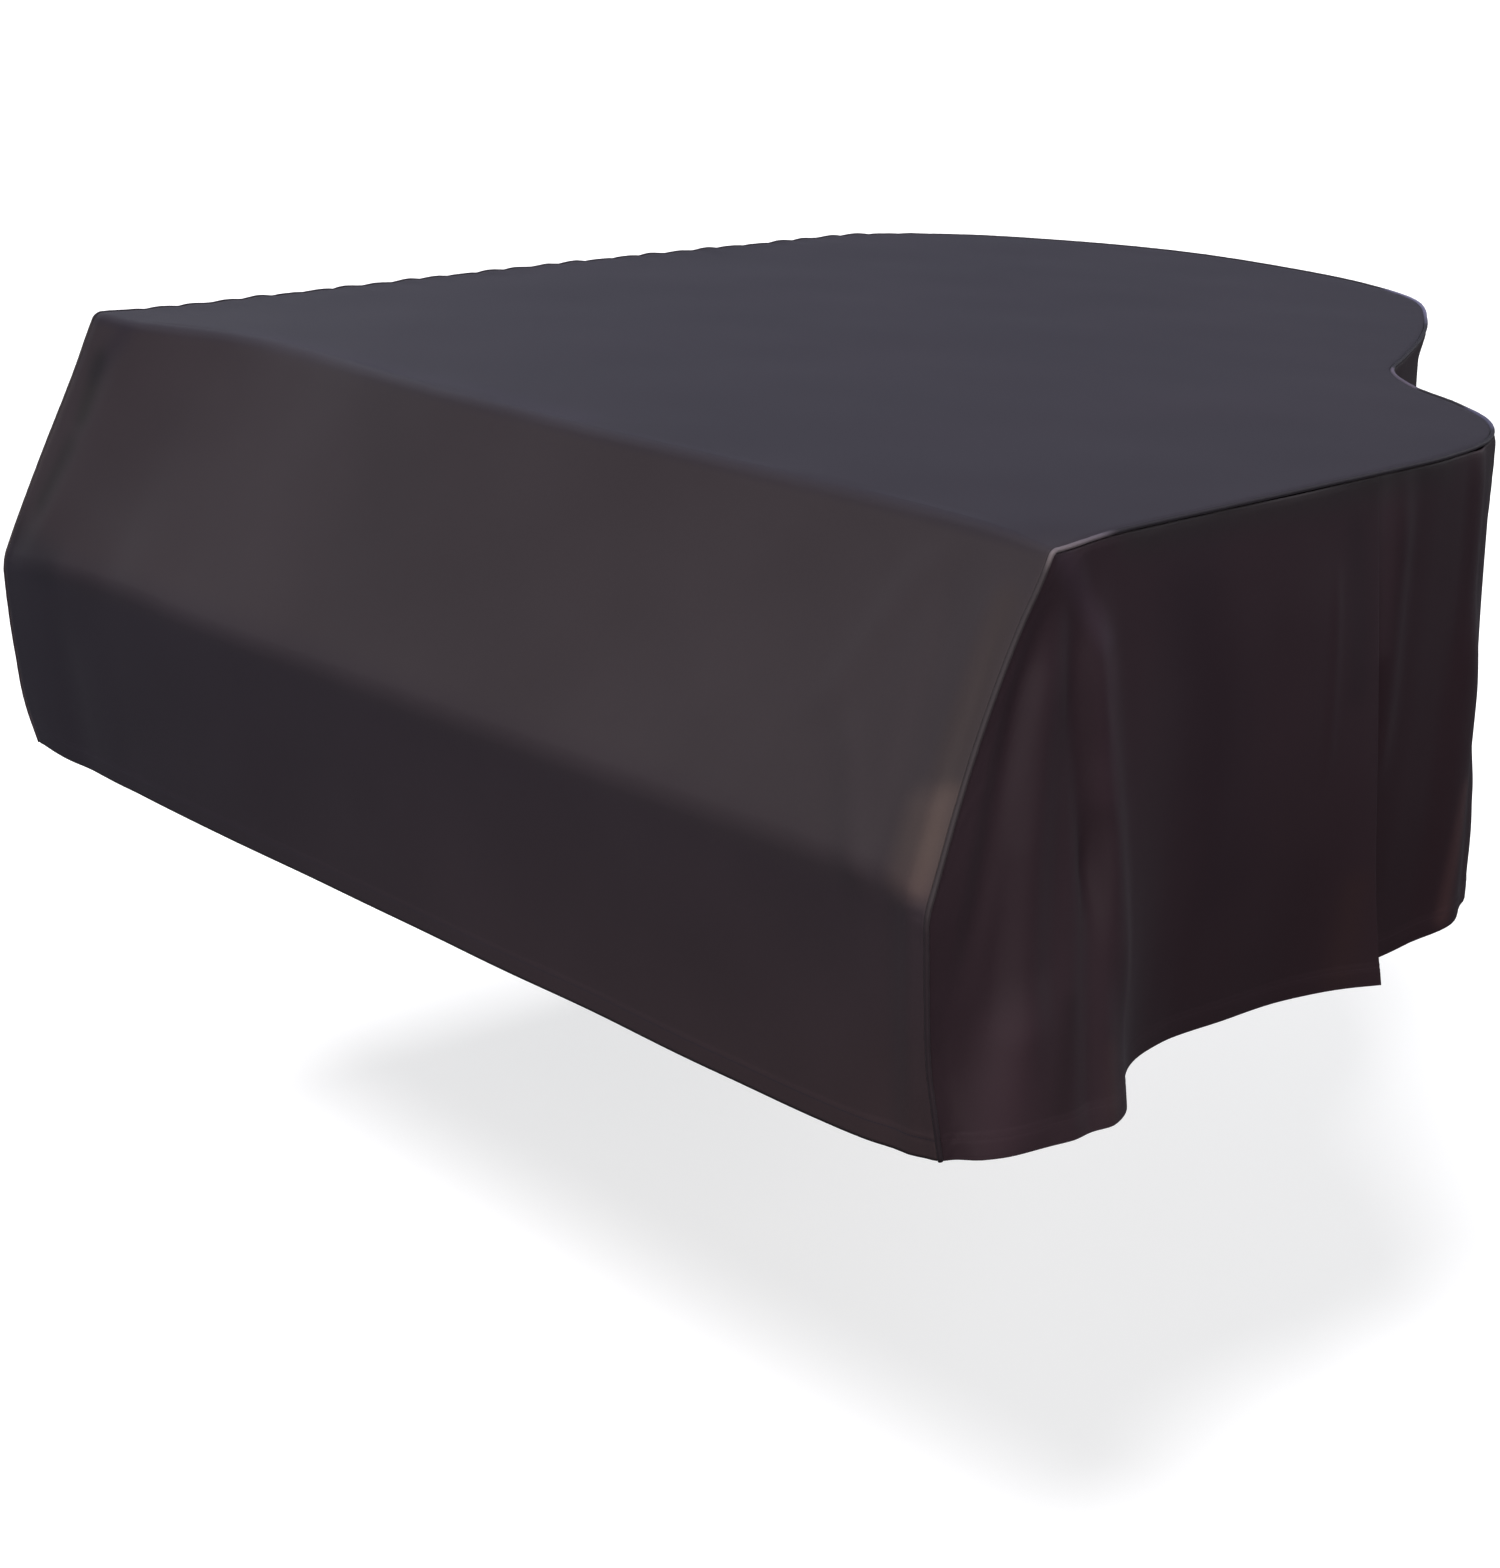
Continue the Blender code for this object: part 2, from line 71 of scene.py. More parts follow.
# The studio: the suns' turns, heights and spreads are in degrees.
SUNS = (
    # sun, turn, height, spread, strength, colour
    ("key", -78, 64, 30, 4.2, (1.0, 0.98, 1.0)),
    ("treble_side", -28, 18, 24, 2.0, (1.04, 0.98, 0.97)),
    ("bass_side", 176, 24, 50, 0.55, (0.90, 0.94, 1.0)),
    ("tail_side", 66, 24, 50, 1.3, (0.92, 0.95, 1.0)),
    ("sky", 131, 30, 60, 0.13, (0.45, 0.65, 1.0)),
)
BACKGROUND = {"Color": (0.80, 0.88, 1.0, 1), "Strength": 0.08}
FLOOR_SIZE = 30
FLOOR_PAINT = {
    "Base Color": (0.50, 0.50, 0.50, 1),
    "Emission Color": (1.0, 1.0, 1.0, 1),
    "Emission Strength": 0.62,
    "Roughness": 0.9,
    "Specular IOR Level": 0.1,
}

# The lid's way from the middle to its two sides, the cord in its seam, and how far in from
# the plan's edge the cord's middle and the cloths' own edges are.
TREBLE_WIDTH = 0.765
BASS_WIDTH = 0.778
PIPING_RADIUS = 0.0022
PIPING_INSET = 0.0016
EDGE_INSET = 0.0041
HEM_DROP = 0.499
WALL_TOP = 0.0045

# The plan of the piano's lid, from the front face's treble corner round to the bass one.
# hem_out and hem_drop place the hem, and tuck is how far the skirt hangs in under the rim.
PLAN = (
    # station, x, back, hem_out, hem_drop, tuck
    ("treble corner", 0.765, 0.000, 0.000, 0.499, 0.000),
    ("treble middle", 0.765, 0.300, -0.036, 0.498, 0.000),
    ("treble lap", 0.765, 0.480, -0.044, 0.495, 0.000),
    ("treble rear", 0.765, 0.565, -0.044, 0.498, 0.000),
    ("bulge start", 0.762, 0.650, -0.034, 0.499, 0.000),
    ("bulge turn", 0.739, 0.747, -0.004, 0.479, -0.001),
    ("bulge shoulder", 0.691, 0.815, 0.013, 0.467, 0.002),
    ("bulge back", 0.613, 0.871, 0.012, 0.480, 0.001),
    ("waist start", 0.534, 0.912, -0.005, 0.495, 0.002),
    ("waist", 0.458, 0.975, -0.012, 0.502, 0.004),
    ("waist end", 0.406, 1.068, -0.006, 0.502, 0.005),
    ("bentside", 0.350, 1.170, 0.002, 0.500, 0.007),
    ("bentside rear", 0.269, 1.291, 0.005, 0.498, 0.007),
    ("tail shoulder", 0.165, 1.408, 0.006, 0.497, 0.007),
    ("tail turn", 0.042, 1.471, 0.000, 0.498, 0.006),
    ("tail", -0.120, 1.512, -0.008, 0.500, 0.005),
    ("tail crown", -0.320, 1.528, -0.003, 0.501, 0.005),
    ("tail bass end", -0.500, 1.492, 0.005, 0.499, 0.004),
    ("tail corner", -0.650, 1.422, 0.010, 0.497, 0.004),
    ("spine rear", -0.728, 1.330, 0.002, 0.498, 0.003),
    ("spine", -0.752, 1.130, -0.006, 0.500, 0.002),
    ("spine middle", -0.772, 0.850, -0.012, 0.501, 0.000),
    ("spine front", -0.778, 0.400, -0.012, 0.499, 0.000),
    ("bass corner", -0.778, 0.000, 0.000, 0.498, 0.000),
)

# The two soft creases and the hem across the front.
TOP_CREASE = (
    # x, back, bend
    (-0.765, 0.126, 0.009),
    (-0.700, 0.136, 0.011),
    (-0.640, 0.154, 0.012),
    (-0.560, 0.174, 0.012),
    (-0.400, 0.176, 0.012),
    (-0.250, 0.162, 0.011),
    (-0.100, 0.150, 0.010),
    (0.120, 0.142, 0.010),
    (0.280, 0.142, 0.010),
    (0.450, 0.142, 0.010),
    (0.560, 0.141, 0.010),
    (0.640, 0.138, 0.009),
    (0.705, 0.132, 0.008),
    (0.765, 0.126, 0.006),
)
LOWER_CREASE = (
    # x, drop, bend
    (-0.765, 0.284, 0.014),
    (-0.660, 0.271, 0.012),
    (-0.540, 0.267, 0.012),
    (-0.320, 0.272, 0.012),
    (-0.080, 0.271, 0.012),
    (0.190, 0.270, 0.012),
    (0.480, 0.268, 0.012),
    (0.640, 0.266, 0.012),
    (0.715, 0.267, 0.012),
    (0.745, 0.275, 0.012),
    (0.765, 0.288, 0.012),
)
FRONT_HEM = (
    # x, drop, back
    (-0.765, 0.499, 0.000),
    (-0.700, 0.504, 0.000),
    (-0.640, 0.504, 0.000),
    (-0.400, 0.506, 0.000),
    (0.000, 0.507, 0.000),
    (0.300, 0.507, 0.000),
    (0.500, 0.508, 0.000),
    (0.620, 0.507, 0.000),
    (0.700, 0.504, 0.002),
    (0.765, 0.500, 0.009),
)
SLOPE_SAG = 0.005

# The bass front corner stands out over the key block and turns in at the hem.
BASS_FLARE = (
    # drop, out
    (0.000, 0.0000),
    (0.045, 0.0095),
    (0.090, 0.0180),
    (0.180, 0.0322),
    (0.279, 0.0412),
    (0.320, 0.0403),
    (0.400, 0.0290),
    (0.460, 0.0130),
    (0.499, -0.0120),
)
BASS_FLARE_REACH = 0.340
SEAM_STIFFNESS = 0.025

# The treble front corner is drawn in down the slope and stands out again at the hem.
TREBLE_LEAN = (
    # drop, out
    (0.000, 0.0000),
    (0.030, -0.0020),
    (0.060, -0.0058),
    (0.100, -0.0095),
    (0.160, -0.0120),
    (0.210, -0.0112),
    (0.260, -0.0085),
    (0.304, -0.0065),
    (0.360, -0.0048),
    (0.425, -0.0020),
    (0.461, 0.0027),
    (0.499, 0.0060),
)
TREBLE_LEAN_REACH = 0.120

# The front corners of the top: the bass one stands a little up and out, the treble one sags.
CORNERS = (
    # corner, x, back, out, up, reach
    ("bass", -0.778, 0.126, 0.0055, 0.0035, 0.055),
    ("treble", 0.765, 0.126, 0.0000, -0.0052, 0.050),
)

# The treble side's hem: out over the leg block, in behind it, and out to a free corner.
# start is the drop at which the cloth begins to leave the plan's edge.
TREBLE_HEM = (
    # back, out, start, hem_drop
    (0.000, 0.000, 0.280, 0.500),
    (0.068, 0.024, 0.240, 0.502),
    (0.120, 0.042, 0.180, 0.502),
    (0.172, 0.048, 0.120, 0.501),
    (0.205, 0.033, 0.120, 0.501),
    (0.228, 0.010, 0.120, 0.501),
    (0.265, -0.020, 0.120, 0.502),
    (0.334, -0.042, 0.100, 0.502),
    (0.420, -0.040, 0.100, 0.502),
    (0.500, -0.030, 0.100, 0.501),
    (0.556, -0.010, 0.200, 0.499),
    (0.592, 0.008, 0.260, 0.499),
)
TREBLE_REAR_TOP = 0.545
TREBLE_REAR_HEM = 0.592
LAP_WIDTH = 0.016
LAP_DEPTH = 0.0026
LAP_RUN_OUT = 0.080
SPINE_SEAM_BACK = 1.190
RIM_DEPTH = 0.045

# Soft folds, as ridges (out above 0) and troughs, each along a straight line on the cloth.
TREBLE_FOLDS = (
    # fold, along_top, drop_top, along_low, drop_low, half_width, out
    ("hollow by the seam", 0.130, 0.020, 0.030, 0.380, 0.020, -0.0040),
    ("ridge beside the seam", 0.142, 0.030, 0.078, 0.470, 0.032, 0.0080),
    ("trough in front of the fold", 0.158, 0.010, 0.180, 0.360, 0.024, -0.0060),
    ("fold from the top corner", 0.168, 0.020, 0.228, 0.460, 0.034, 0.0080),
    ("streak below the corner", 0.150, -0.010, 0.192, 0.200, 0.016, 0.0022),
    ("trough behind the fold", 0.300, 0.040, 0.310, 0.520, 0.070, -0.0045),
    ("soft rise", 0.470, 0.040, 0.480, 0.420, 0.070, 0.0020),
    ("bulge over the leg block", 0.104, 0.350, 0.030, 0.600, 0.052, 0.0060),
    ("crease behind the leg block", 0.188, 0.200, 0.142, 0.560, 0.026, -0.0075),
    ("wrinkle near the lap", 0.492, 0.060, 0.505, 0.300, 0.010, 0.0014),
)
SKIRT_FOLDS = (
    # fold, along_top, drop_top, along_low, drop_low, half_width, out
    ("ridge behind the lap", 0.581, -0.020, 0.600, 0.340, 0.026, 0.006),
    ("pleat at the bulge", 0.710, -0.040, 0.726, 0.260, 0.024, 0.005),
    ("ridge near the bulge's edge", 0.764, -0.030, 0.840, 0.150, 0.018, 0.0022),
    ("roll down the bulge's edge", 0.812, 0.300, 0.772, 0.560, 0.016, 0.0030),
    ("ridge on the bulge", 0.730, 0.120, 0.740, 0.640, 0.050, 0.010),
    ("trough on the bulge", 0.850, 0.060, 0.860, 0.640, 0.060, -0.008),
    ("ridge in the waist", 1.060, 0.080, 1.040, 0.640, 0.060, 0.008),
    ("trough on the bentside", 1.250, 0.060, 1.280, 0.640, 0.090, -0.008),
    ("ridge on the bentside", 1.450, 0.120, 1.430, 0.640, 0.080, 0.009),
    ("trough at the tail", 1.720, 0.060, 1.740, 0.640, 0.090, -0.007),
    ("ridge at the tail", 1.940, 0.100, 1.960, 0.640, 0.090, 0.009),
    ("trough at the tail corner", 2.180, 0.060, 2.160, 0.640, 0.080, -0.006),
)
SPINE_FOLDS = (
    # fold, back_top, drop_top, back_low, drop_low, half_width, out
    ("puff beside the bass seam", 0.165, 0.000, 0.045, 0.285, 0.045, 0.020),
    ("ridge on the spine", 0.520, 0.100, 0.550, 0.640, 0.110, 0.007),
    ("trough on the spine", 0.780, 0.060, 0.740, 0.640, 0.110, -0.006),
    ("ridge at the rear", 1.030, 0.080, 1.050, 0.640, 0.090, 0.007),
)
SLOPE_FOLDS = (
    # fold, x_top, drop_top, x_low, drop_low, half_width, out
    ("roll beside the treble seam", 0.712, 0.004, 0.738, 0.330, 0.020, 0.0028),
    ("hollow inside the roll", 0.668, 0.010, 0.700, 0.300, 0.026, -0.0022),
    ("drag from the treble corner", 0.640, 0.010, 0.560, 0.190, 0.034, 0.0022),
    ("drag toward the lower corner", 0.600, 0.150, 0.690, 0.300, 0.026, 0.0024),
    ("soft rise on the bass side", -0.560, 0.020, -0.500, 0.280, 0.080, 0.0020),
    ("trough beside the bass seam", -0.722, -0.020, -0.802, 0.300, 0.040, -0.0024),
    ("ridge below the lower crease", 0.738, 0.250, 0.742, 0.560, 0.018, 0.0022),
    ("hollow below the lower crease", 0.712, 0.250, 0.716, 0.540, 0.022, -0.0016),
    ("trough at the bass hem", -0.700, 0.300, -0.640, 0.560, 0.050, -0.0014),
    ("rise at the bass hem", -0.620, 0.320, -0.560, 0.560, 0.060, 0.0012),
)

# How far from a stiff edge the folds, the sag and the slow swell of the cloth set in.
FOLD_EASE = 0.012
SAG_EASE = 0.2
SWELL_EASE = 0.1
FRONT_SWELL_EASE = 0.05
TOP_SWELL_EASE = 0.06
# The swell's height on the hanging cloths and on the top, and the lengths of its waves.
SWELL = 0.0012
TOP_SWELL = 0.0009
SWELL_PITCHES = (0.45, 0.27, 0.16)
SWELL_STRETCH = 1.9
# A wave starts at a place drawn from 0 to PHASES.
PHASES = 6.3

# The turned hem and its line of stitches.
HEM_WIDTH = 0.020
HEM_RISE = 0.0006
HEM_STEP = 0.003
HEM_END = 0.004
STITCH_INSET = 0.002
STITCH_GROOVE = 0.0005
GROOVE_WIDTH = 0.0012
STITCH_PITCH = 0.0035
STITCH_SHARE = 0.72
THREAD_HALF_WIDTH = 0.00045
THREAD_PALENESS = 1.25
THREAD_RISE = 1.2

# The cloth beside the corded seam, its puckers, and the scallops of the spine's edge.
SEAM_DIP = 0.0008
SEAM_DIP_WIDTH = 0.0035
SEAM_SLANT = 0.92
SPINE_SEAM_GAP = 0.0003
CORD_CLEAR = 0.003
PUCKER = 0.00035
PUCKER_REACH = 0.014
PUCKER_PITCHES = (0.011, 0.017, 0.029, 0.061)
SCALLOP = 0.0016
SCALLOP_PITCH = 0.044
SCALLOP_REACH = 0.030
SCALLOP_REAR_FADE = 0.12
SCALLOP_FRONT_FADE = 0.06
SCALLOP_FRONT_END = 0.14

# Steps in which the plan and the front's profile are traced and their slopes taken.
PLAN_STEPS = 3600
EDGE_STEP = 0.004
PROFILE_POINTS = 321
PROFILE_STEP = 0.02
LEAN_STEP = 0.002
# An allowance for rounding, and the height above the hem that stands for no hem nearby.
NEARLY = 1e-9
FAR_FROM_HEM = 1.0

# The cord: points along each stretch of a front corner, from w down, and along the lid.
# Each ring is turned by the way to a place below the cover's middle, so that none twists.
CORD_STEPS = ((4, 60), (3, 30), (2, 70), (1, 30))
CORD_LID_POINTS = 1100
CORD_SIDES = 12
CORD_LUMPS = 0.05
CORD_AIM_DEPTH = 0.3
CORD_WELD = 0.00002

# Where the rows and columns of each grid go, as (share of them, place), closer at its edges.
WALL_KNOTS = ((0, 0), (0.02, 0.001), (0.10, 0.042), (0.13, 0.055), (0.86, 0.93), (0.92, 0.965), (1, 1))
TREBLE_KNOTS = ((0, 0), (0.12, 0.03), (0.95, 0.975), (0.9915, 0.9992), (1, 1))
SPINE_KNOTS = ((0, 0), (0.90, 0.975), (1, 1))
STRIP_SIDE_KNOTS = ((0, 0), (0.05, 0.012), (0.95, 0.988), (1, 1))
STRIP_KNOTS = (
    # share of the rows up the strip, place on the front profile
    (0.000, 4.00),
    (0.030, 3.91),
    (0.045, 3.885),
    (0.130, 3.00),
    (0.190, 2.00),
    (0.320, 1.00),
    (0.380, 0.00),
)
TOP_SHARES = (
    # share of the rows, station on the treble edge
    (0.00, None),
    (0.10, "treble middle"),
    (0.18, "treble rear"),
    (0.66, "waist end"),
    (1.00, "tail shoulder"),
)

# The weave and its sheen: each noise has a scale, a detail and a roughness.
WEAVE_PITCH = 0.0007
CLOUD = (3.2, 4.0, 0.55)
NAP = (420.0, 3.0, 0.6)
SLUB = (1.0, 2.0, 0.5)
SLUB_STRETCH = (900.0, 60.0, 1.0)
SHADES = (0.88, 1.12)
ROUGHNESSES = (0.50, 0.60)
BUMP_STRENGTH = 0.25
BUMP_HEIGHT = 0.0003
SHEEN = {
    "Specular IOR Level": 0.10,
    "Sheen Weight": 0.03,
    "Sheen Roughness": 0.45,
    "Sheen Tint": (0.90, 0.90, 1.0, 1.0),
}

# Colours of the cloth at drops from the hem up to the top, at two ends of each cloth. The top cloth's
# colours hold painted shade: its slope is painted lighter than the top and the front drop, and its bass
# end darker than its treble end, as the light falls on them.
TOP_BASS_COLOURS_AND_SHADE = (
    # drop, colour
    (0.499, (0.0140, 0.0120, 0.0172)),
    (0.290, (0.0152, 0.0128, 0.0184)),
    (0.240, (0.0240, 0.0188, 0.0218)),
    (0.012, (0.0238, 0.0186, 0.0220)),
    (0.000, (0.0182, 0.0152, 0.0216)),
)
TOP_TREBLE_COLOURS_AND_SHADE = (
    # drop, colour
    (0.499, (0.0320, 0.0212, 0.0234)),
    (0.290, (0.0276, 0.0202, 0.0244)),
    (0.240, (0.0302, 0.0244, 0.0270)),
    (0.012, (0.0302, 0.0244, 0.0274)),
    (0.000, (0.0192, 0.0156, 0.0214)),
)
SIDE_FRONT_TONES = (
    # drop, colour
    (0.499, (0.0196, 0.0110, 0.0142)),
    (0.000, (0.0206, 0.0118, 0.0160)),
)
SIDE_REAR_TONES = (
    # drop, colour
    (0.499, (0.0168, 0.0086, 0.0112)),
    (0.300, (0.0164, 0.0082, 0.0110)),
    (0.120, (0.0158, 0.0078, 0.0108)),
    (0.000, (0.0156, 0.0078, 0.0108)),
)
# The cord's colours hold a painted highlight: paler down the slope's seams than along the lid's rim and
# the front drop.
CORD_COLOURS_AND_HIGHLIGHT = (
    # drop, colour
    (0.499, (0.0190, 0.0130, 0.0160)),
    (0.300, (0.0220, 0.0160, 0.0190)),
    (0.270, (0.0330, 0.0270, 0.0290)),
    (0.010, (0.0330, 0.0275, 0.0300)),
    (0.000, (0.0150, 0.0128, 0.0170)),
)
# The height of the uppermost tone, and the stretch behind the front face over which the
# side cloths change from their front tones to their rear ones.
TONE_TOP = 0.001
SIDE_TONES_START = 0.3
SIDE_TONES_END = 0.75

# Lines of painted highlight, where the cloth is made paler, and of painted shade, where it is made darker,
# each with its two ends, how far it reaches to the sides and the gain of red, green and blue on it.
TOP_PAINTED_LIGHT_AND_SHADE = (
    # (x, back, drop), (x, back, drop), reach, gain
    ((0.742, 0.040, 0.200), (0.749, 0.005, 0.266), 0.022, (1.72, 1.58, 1.36)),
    ((0.721, 0.030, 0.212), (0.727, 0.005, 0.262), 0.032, (1.55, 1.45, 1.28)),
    ((0.735, 0.100, 0.050), (0.735, 0.045, 0.180), 0.030, (1.08, 1.05, 0.96)),
    ((-0.715, 0.124, 0.012), (-0.745, 0.105, 0.060), 0.030, (0.84, 0.84, 0.92)),
    ((-0.748, 0.110, 0.050), (-0.748, 0.082, 0.112), 0.028, (0.72, 0.80, 0.74)),
    ((-0.754, 0.064, 0.146), (-0.774, 0.034, 0.210), 0.030, (0.68, 0.72, 0.69)),
    ((-0.800, 0.012, 0.250), (-0.715, 0.003, 0.268), 0.050, (0.72, 0.75, 0.77)),
    ((-0.730, 0.022, 0.232), (-0.600, 0.012, 0.250), 0.060, (0.88, 0.83, 0.85)),
    ((-0.790, 0.095, 0.080), (-0.811, 0.040, 0.192), 0.015, (1.34, 1.40, 1.28)),
    ((-0.560, 0.200, 0.000), (0.100, 0.168, 0.000), 0.034, (1.10, 1.10, 1.15)),
)
# Painted highlights and painted shade on the side cloths' folds.
SIDE_PAINTED_LIGHT_AND_SHADE = (
    # (x, back, drop), (x, back, drop), reach, gain
    ((0.790, 0.078, 0.410), (0.797, 0.055, 0.478), 0.055, (1.42, 1.42, 1.42)),
    ((0.765, 0.230, -0.005), (0.765, 0.640, -0.005), 0.050, (0.78, 1.10, 0.92)),
    ((0.765, 0.142, 0.015), (0.768, 0.190, 0.090), 0.020, (1.36, 1.50, 1.56)),
    ((0.768, 0.196, 0.116), (0.774, 0.192, 0.220), 0.024, (1.26, 1.24, 1.26)),
    ((0.765, 0.114, 0.110), (0.768, 0.095, 0.240), 0.022, (1.12, 1.20, 1.15)),
    ((0.790, 0.140, 0.390), (0.802, 0.120, 0.475), 0.018, (0.82, 0.82, 0.82)),
    ((0.760, 0.300, 0.060), (0.752, 0.380, 0.350), 0.080, (0.86, 0.86, 0.90)),
    ((0.764, 0.560, 0.010), (0.764, 0.574, 0.170), 0.022, (1.48, 1.74, 1.62)),
    ((0.765, 0.518, 0.050), (0.766, 0.536, 0.200), 0.028, (0.84, 0.84, 0.86)),
    ((0.750, 0.739, 0.340), (0.746, 0.722, 0.470), 0.018, (2.00, 1.95, 1.65)),
    ((0.764, 0.556, 0.400), (0.760, 0.550, 0.480), 0.034, (1.16, 1.14, 1.00)),
    ((0.764, 0.600, 0.260), (0.764, 0.616, 0.460), 0.030, (1.14, 1.10, 1.08)),
    ((0.802, 0.184, 0.440), (0.808, 0.175, 0.490), 0.018, (1.25, 1.25, 1.12)),
    ((0.775, 0.240, 0.380), (0.788, 0.224, 0.440), 0.018, (1.36, 1.36, 1.20)),
)
# Painted highlights on the cord.
CORD_PAINTED_HIGHLIGHTS = (
    # (x, back, drop), (x, back, drop), reach, gain
    ((0.765, 0.132, 0.004), (0.765, 0.178, 0.000), 0.026, (4.6, 4.6, 4.4)),
    ((0.115, 1.455, 0.000), (0.300, 1.290, 0.000), 0.045, (8.0, 9.0, 11.0)),
    ((0.455, 0.978, 0.000), (0.530, 0.914, 0.000), 0.022, (5.5, 5.2, 5.6)),
    ((0.650, 0.853, 0.000), (0.712, 0.800, 0.000), 0.030, (5.0, 5.6, 7.0)),
)


def column(table, index):
    return np.array([row[index] for row in table], float)


def curve(table, index, at, places=None):
    """A smooth curve through a table's column, with its ends held beyond the table."""
    places = column(table, 0) if places is None else places
    values = column(table, index)
    slopes = np.gradient(values, places)
    at = np.clip(at, places[0], places[-1])
    i = np.clip(np.searchsorted(places, at, side="right") - 1, 0, len(places) - 2)
    width = places[i + 1] - places[i]
    t = (at - places[i]) / width
    return (
        values[i] * (1 + 2 * t) * (1 - t) ** 2
        + values[i + 1] * t * t * (3 - 2 * t)
        + slopes[i] * width * t * (1 - t) ** 2
        - slopes[i + 1] * width * t * t * (1 - t)
    )


def ramp(value):
    """0 up to 0, 1 from 1 on, with a soft rise between."""
    t = np.clip(value, 0.0, 1.0)
    return t * t * (3 - 2 * t)


def bell(value):
    """1 at 0, falling softly to nothing past 2."""
    return np.exp(-value * value)


def trace_plan():
    """The plan's stations joined by a smooth curve: x, back and along at close steps."""
    chords = np.hypot(np.diff(column(PLAN, 1)), np.diff(column(PLAN, 2)))
    chords = np.concatenate([[0], np.cumsum(chords)])
    fine = np.linspace(0, chords[-1], PLAN_STEPS)
    x, back = (curve(PLAN, index, fine, chords) for index in (1, 2))
    along = np.concatenate([[0], np.cumsum(np.hypot(np.diff(x), np.diff(back)))])
    return x, back, along, np.interp(chords, fine, along)


PLAN_X, PLAN_BACK, PLAN_ALONG, STATIONS = trace_plan()
PLAN_LENGTH = float(PLAN_ALONG[-1])


def station(name):
    return float(STATIONS[[row[0] for row in PLAN].index(name)])


def station_curve(index, along):
    return curve(PLAN, index, along, STATIONS)


def edge_at(along):
    """Points of the plan's edge, as (x, back)."""
    return np.stack([np.interp(along, PLAN_ALONG, PLAN_X), np.interp(along, PLAN_ALONG, PLAN_BACK)], -1)


def plan_point(along, inset=0.0):
    """Points of the plan's edge, moved in by inset, and the way out from each."""
    run = edge_at(along + EDGE_STEP) - edge_at(along - EDGE_STEP)
    outward = np.stack([run[..., 1], -run[..., 0]], -1)
    outward /= np.linalg.norm(outward, axis=-1, keepdims=True)
    return edge_at(along) - outward * inset, outward


def along_at_back(back, from_treble):
    """Where the treble side, or else the spine side, is at a distance behind the front."""
    third = len(PLAN_BACK) // 3
    if from_treble:
        return np.interp(back, PLAN_BACK[:third], PLAN_ALONG[:third])
    return np.interp(-back, -PLAN_BACK[-third:], PLAN_ALONG[-third:])


def place(x, back, drop):
    """Points in the model's frame, with the top's front corners as they stand."""
    x, back, drop = np.broadcast_arrays(x, back, drop)
    moved, raised = x, TOP_FACE - drop
    for _, corner_x, corner_back, out, up, reach in CORNERS:
        near = bell(np.sqrt((x - corner_x) ** 2 + (back - corner_back) ** 2 + drop ** 2) / reach)
        moved = moved + near * math.copysign(out, corner_x)
        raised = raised + near * up
    return np.stack([moved, FRONT_FACE + back, raised], -1)


def front_profile(x, w):
    """(back, drop) on the front at x: w is 0-1 round the top crease, 1-2 down the slope,
    2-3 round the lower crease and 3-4 down the front drop."""
    x, w = np.broadcast_arrays(np.asarray(x, float), np.asarray(w, float))
    zero = np.zeros_like(x)
    crease, crease_bend = (curve(TOP_CREASE, index, x) for index in (1, 2))
    lower, lower_bend = (curve(LOWER_CREASE, index, x) for index in (1, 2))
    top = np.stack([crease, zero], -1)
    low = np.stack([zero, lower], -1)
    down = (low - top) / np.linalg.norm(low - top, axis=-1, keepdims=True)
    top_bend = (top + np.stack([crease_bend, zero], -1), top, top + down * crease_bend[..., None])
    low_bend = (low - down * lower_bend[..., None], low, low + np.stack([zero, lower_bend], -1))
    hem = np.stack([zero, curve(FRONT_HEM, 1, x)], -1)
    tuck = np.stack([curve(FRONT_HEM, 2, x), zero], -1)
    section = np.minimum(w.astype(int), 3)
    t = (w - section)[..., None]
    round_top, round_low = (
        a * (1 - t) ** 2 + b * 2 * t * (1 - t) + c * t * t for a, b, c in (top_bend, low_bend)
    )
    slope = top_bend[2] * (1 - t) + low_bend[0] * t
    front_drop = low_bend[2] * (1 - t) + hem * t + tuck * t ** 3
    section = section[..., None]
    return np.select([section == 0, section == 1, section == 2], [round_top, slope, round_low], front_drop)


def front_outward(x, w):
    """The way out from the front at x and w, as (back, drop)."""
    ahead = front_profile(x, np.minimum(w + PROFILE_STEP, 4))
    run = ahead - front_profile(x, np.maximum(w - PROFILE_STEP, 0))
    outward = np.stack([-run[..., 1], run[..., 0]], -1)
    return outward / np.linalg.norm(outward, axis=-1, keepdims=True)


def edge_line(x, inset):
    """A front corner's profile moved inwards, from the top to the hem."""
    w = np.linspace(0, 4, PROFILE_POINTS)
    return front_profile(x, w) - front_outward(x, w) * inset


TREBLE_EDGE = edge_line(TREBLE_WIDTH, EDGE_INSET)
BASS_EDGE = edge_line(-BASS_WIDTH, EDGE_INSET)


def back_on(line, drop):
    return np.interp(drop, line[:, 1], line[:, 0])


def seam_out(drop, bass):
    """How far a front corner stands outside the plan at a drop."""
    return curve(BASS_FLARE if bass else TREBLE_LEAN, 1, drop)


def half_span(drop, bass, inset):
    """The way from the middle to the bass or the treble front corner, less an inset."""
    lean = (seam_out(drop + LEAN_STEP, bass) - seam_out(drop - LEAN_STEP, bass)) / (2 * LEAN_STEP)
    width = BASS_WIDTH if bass else TREBLE_WIDTH
    return width + seam_out(drop, bass) - inset * np.sqrt(1 + lean * lean)


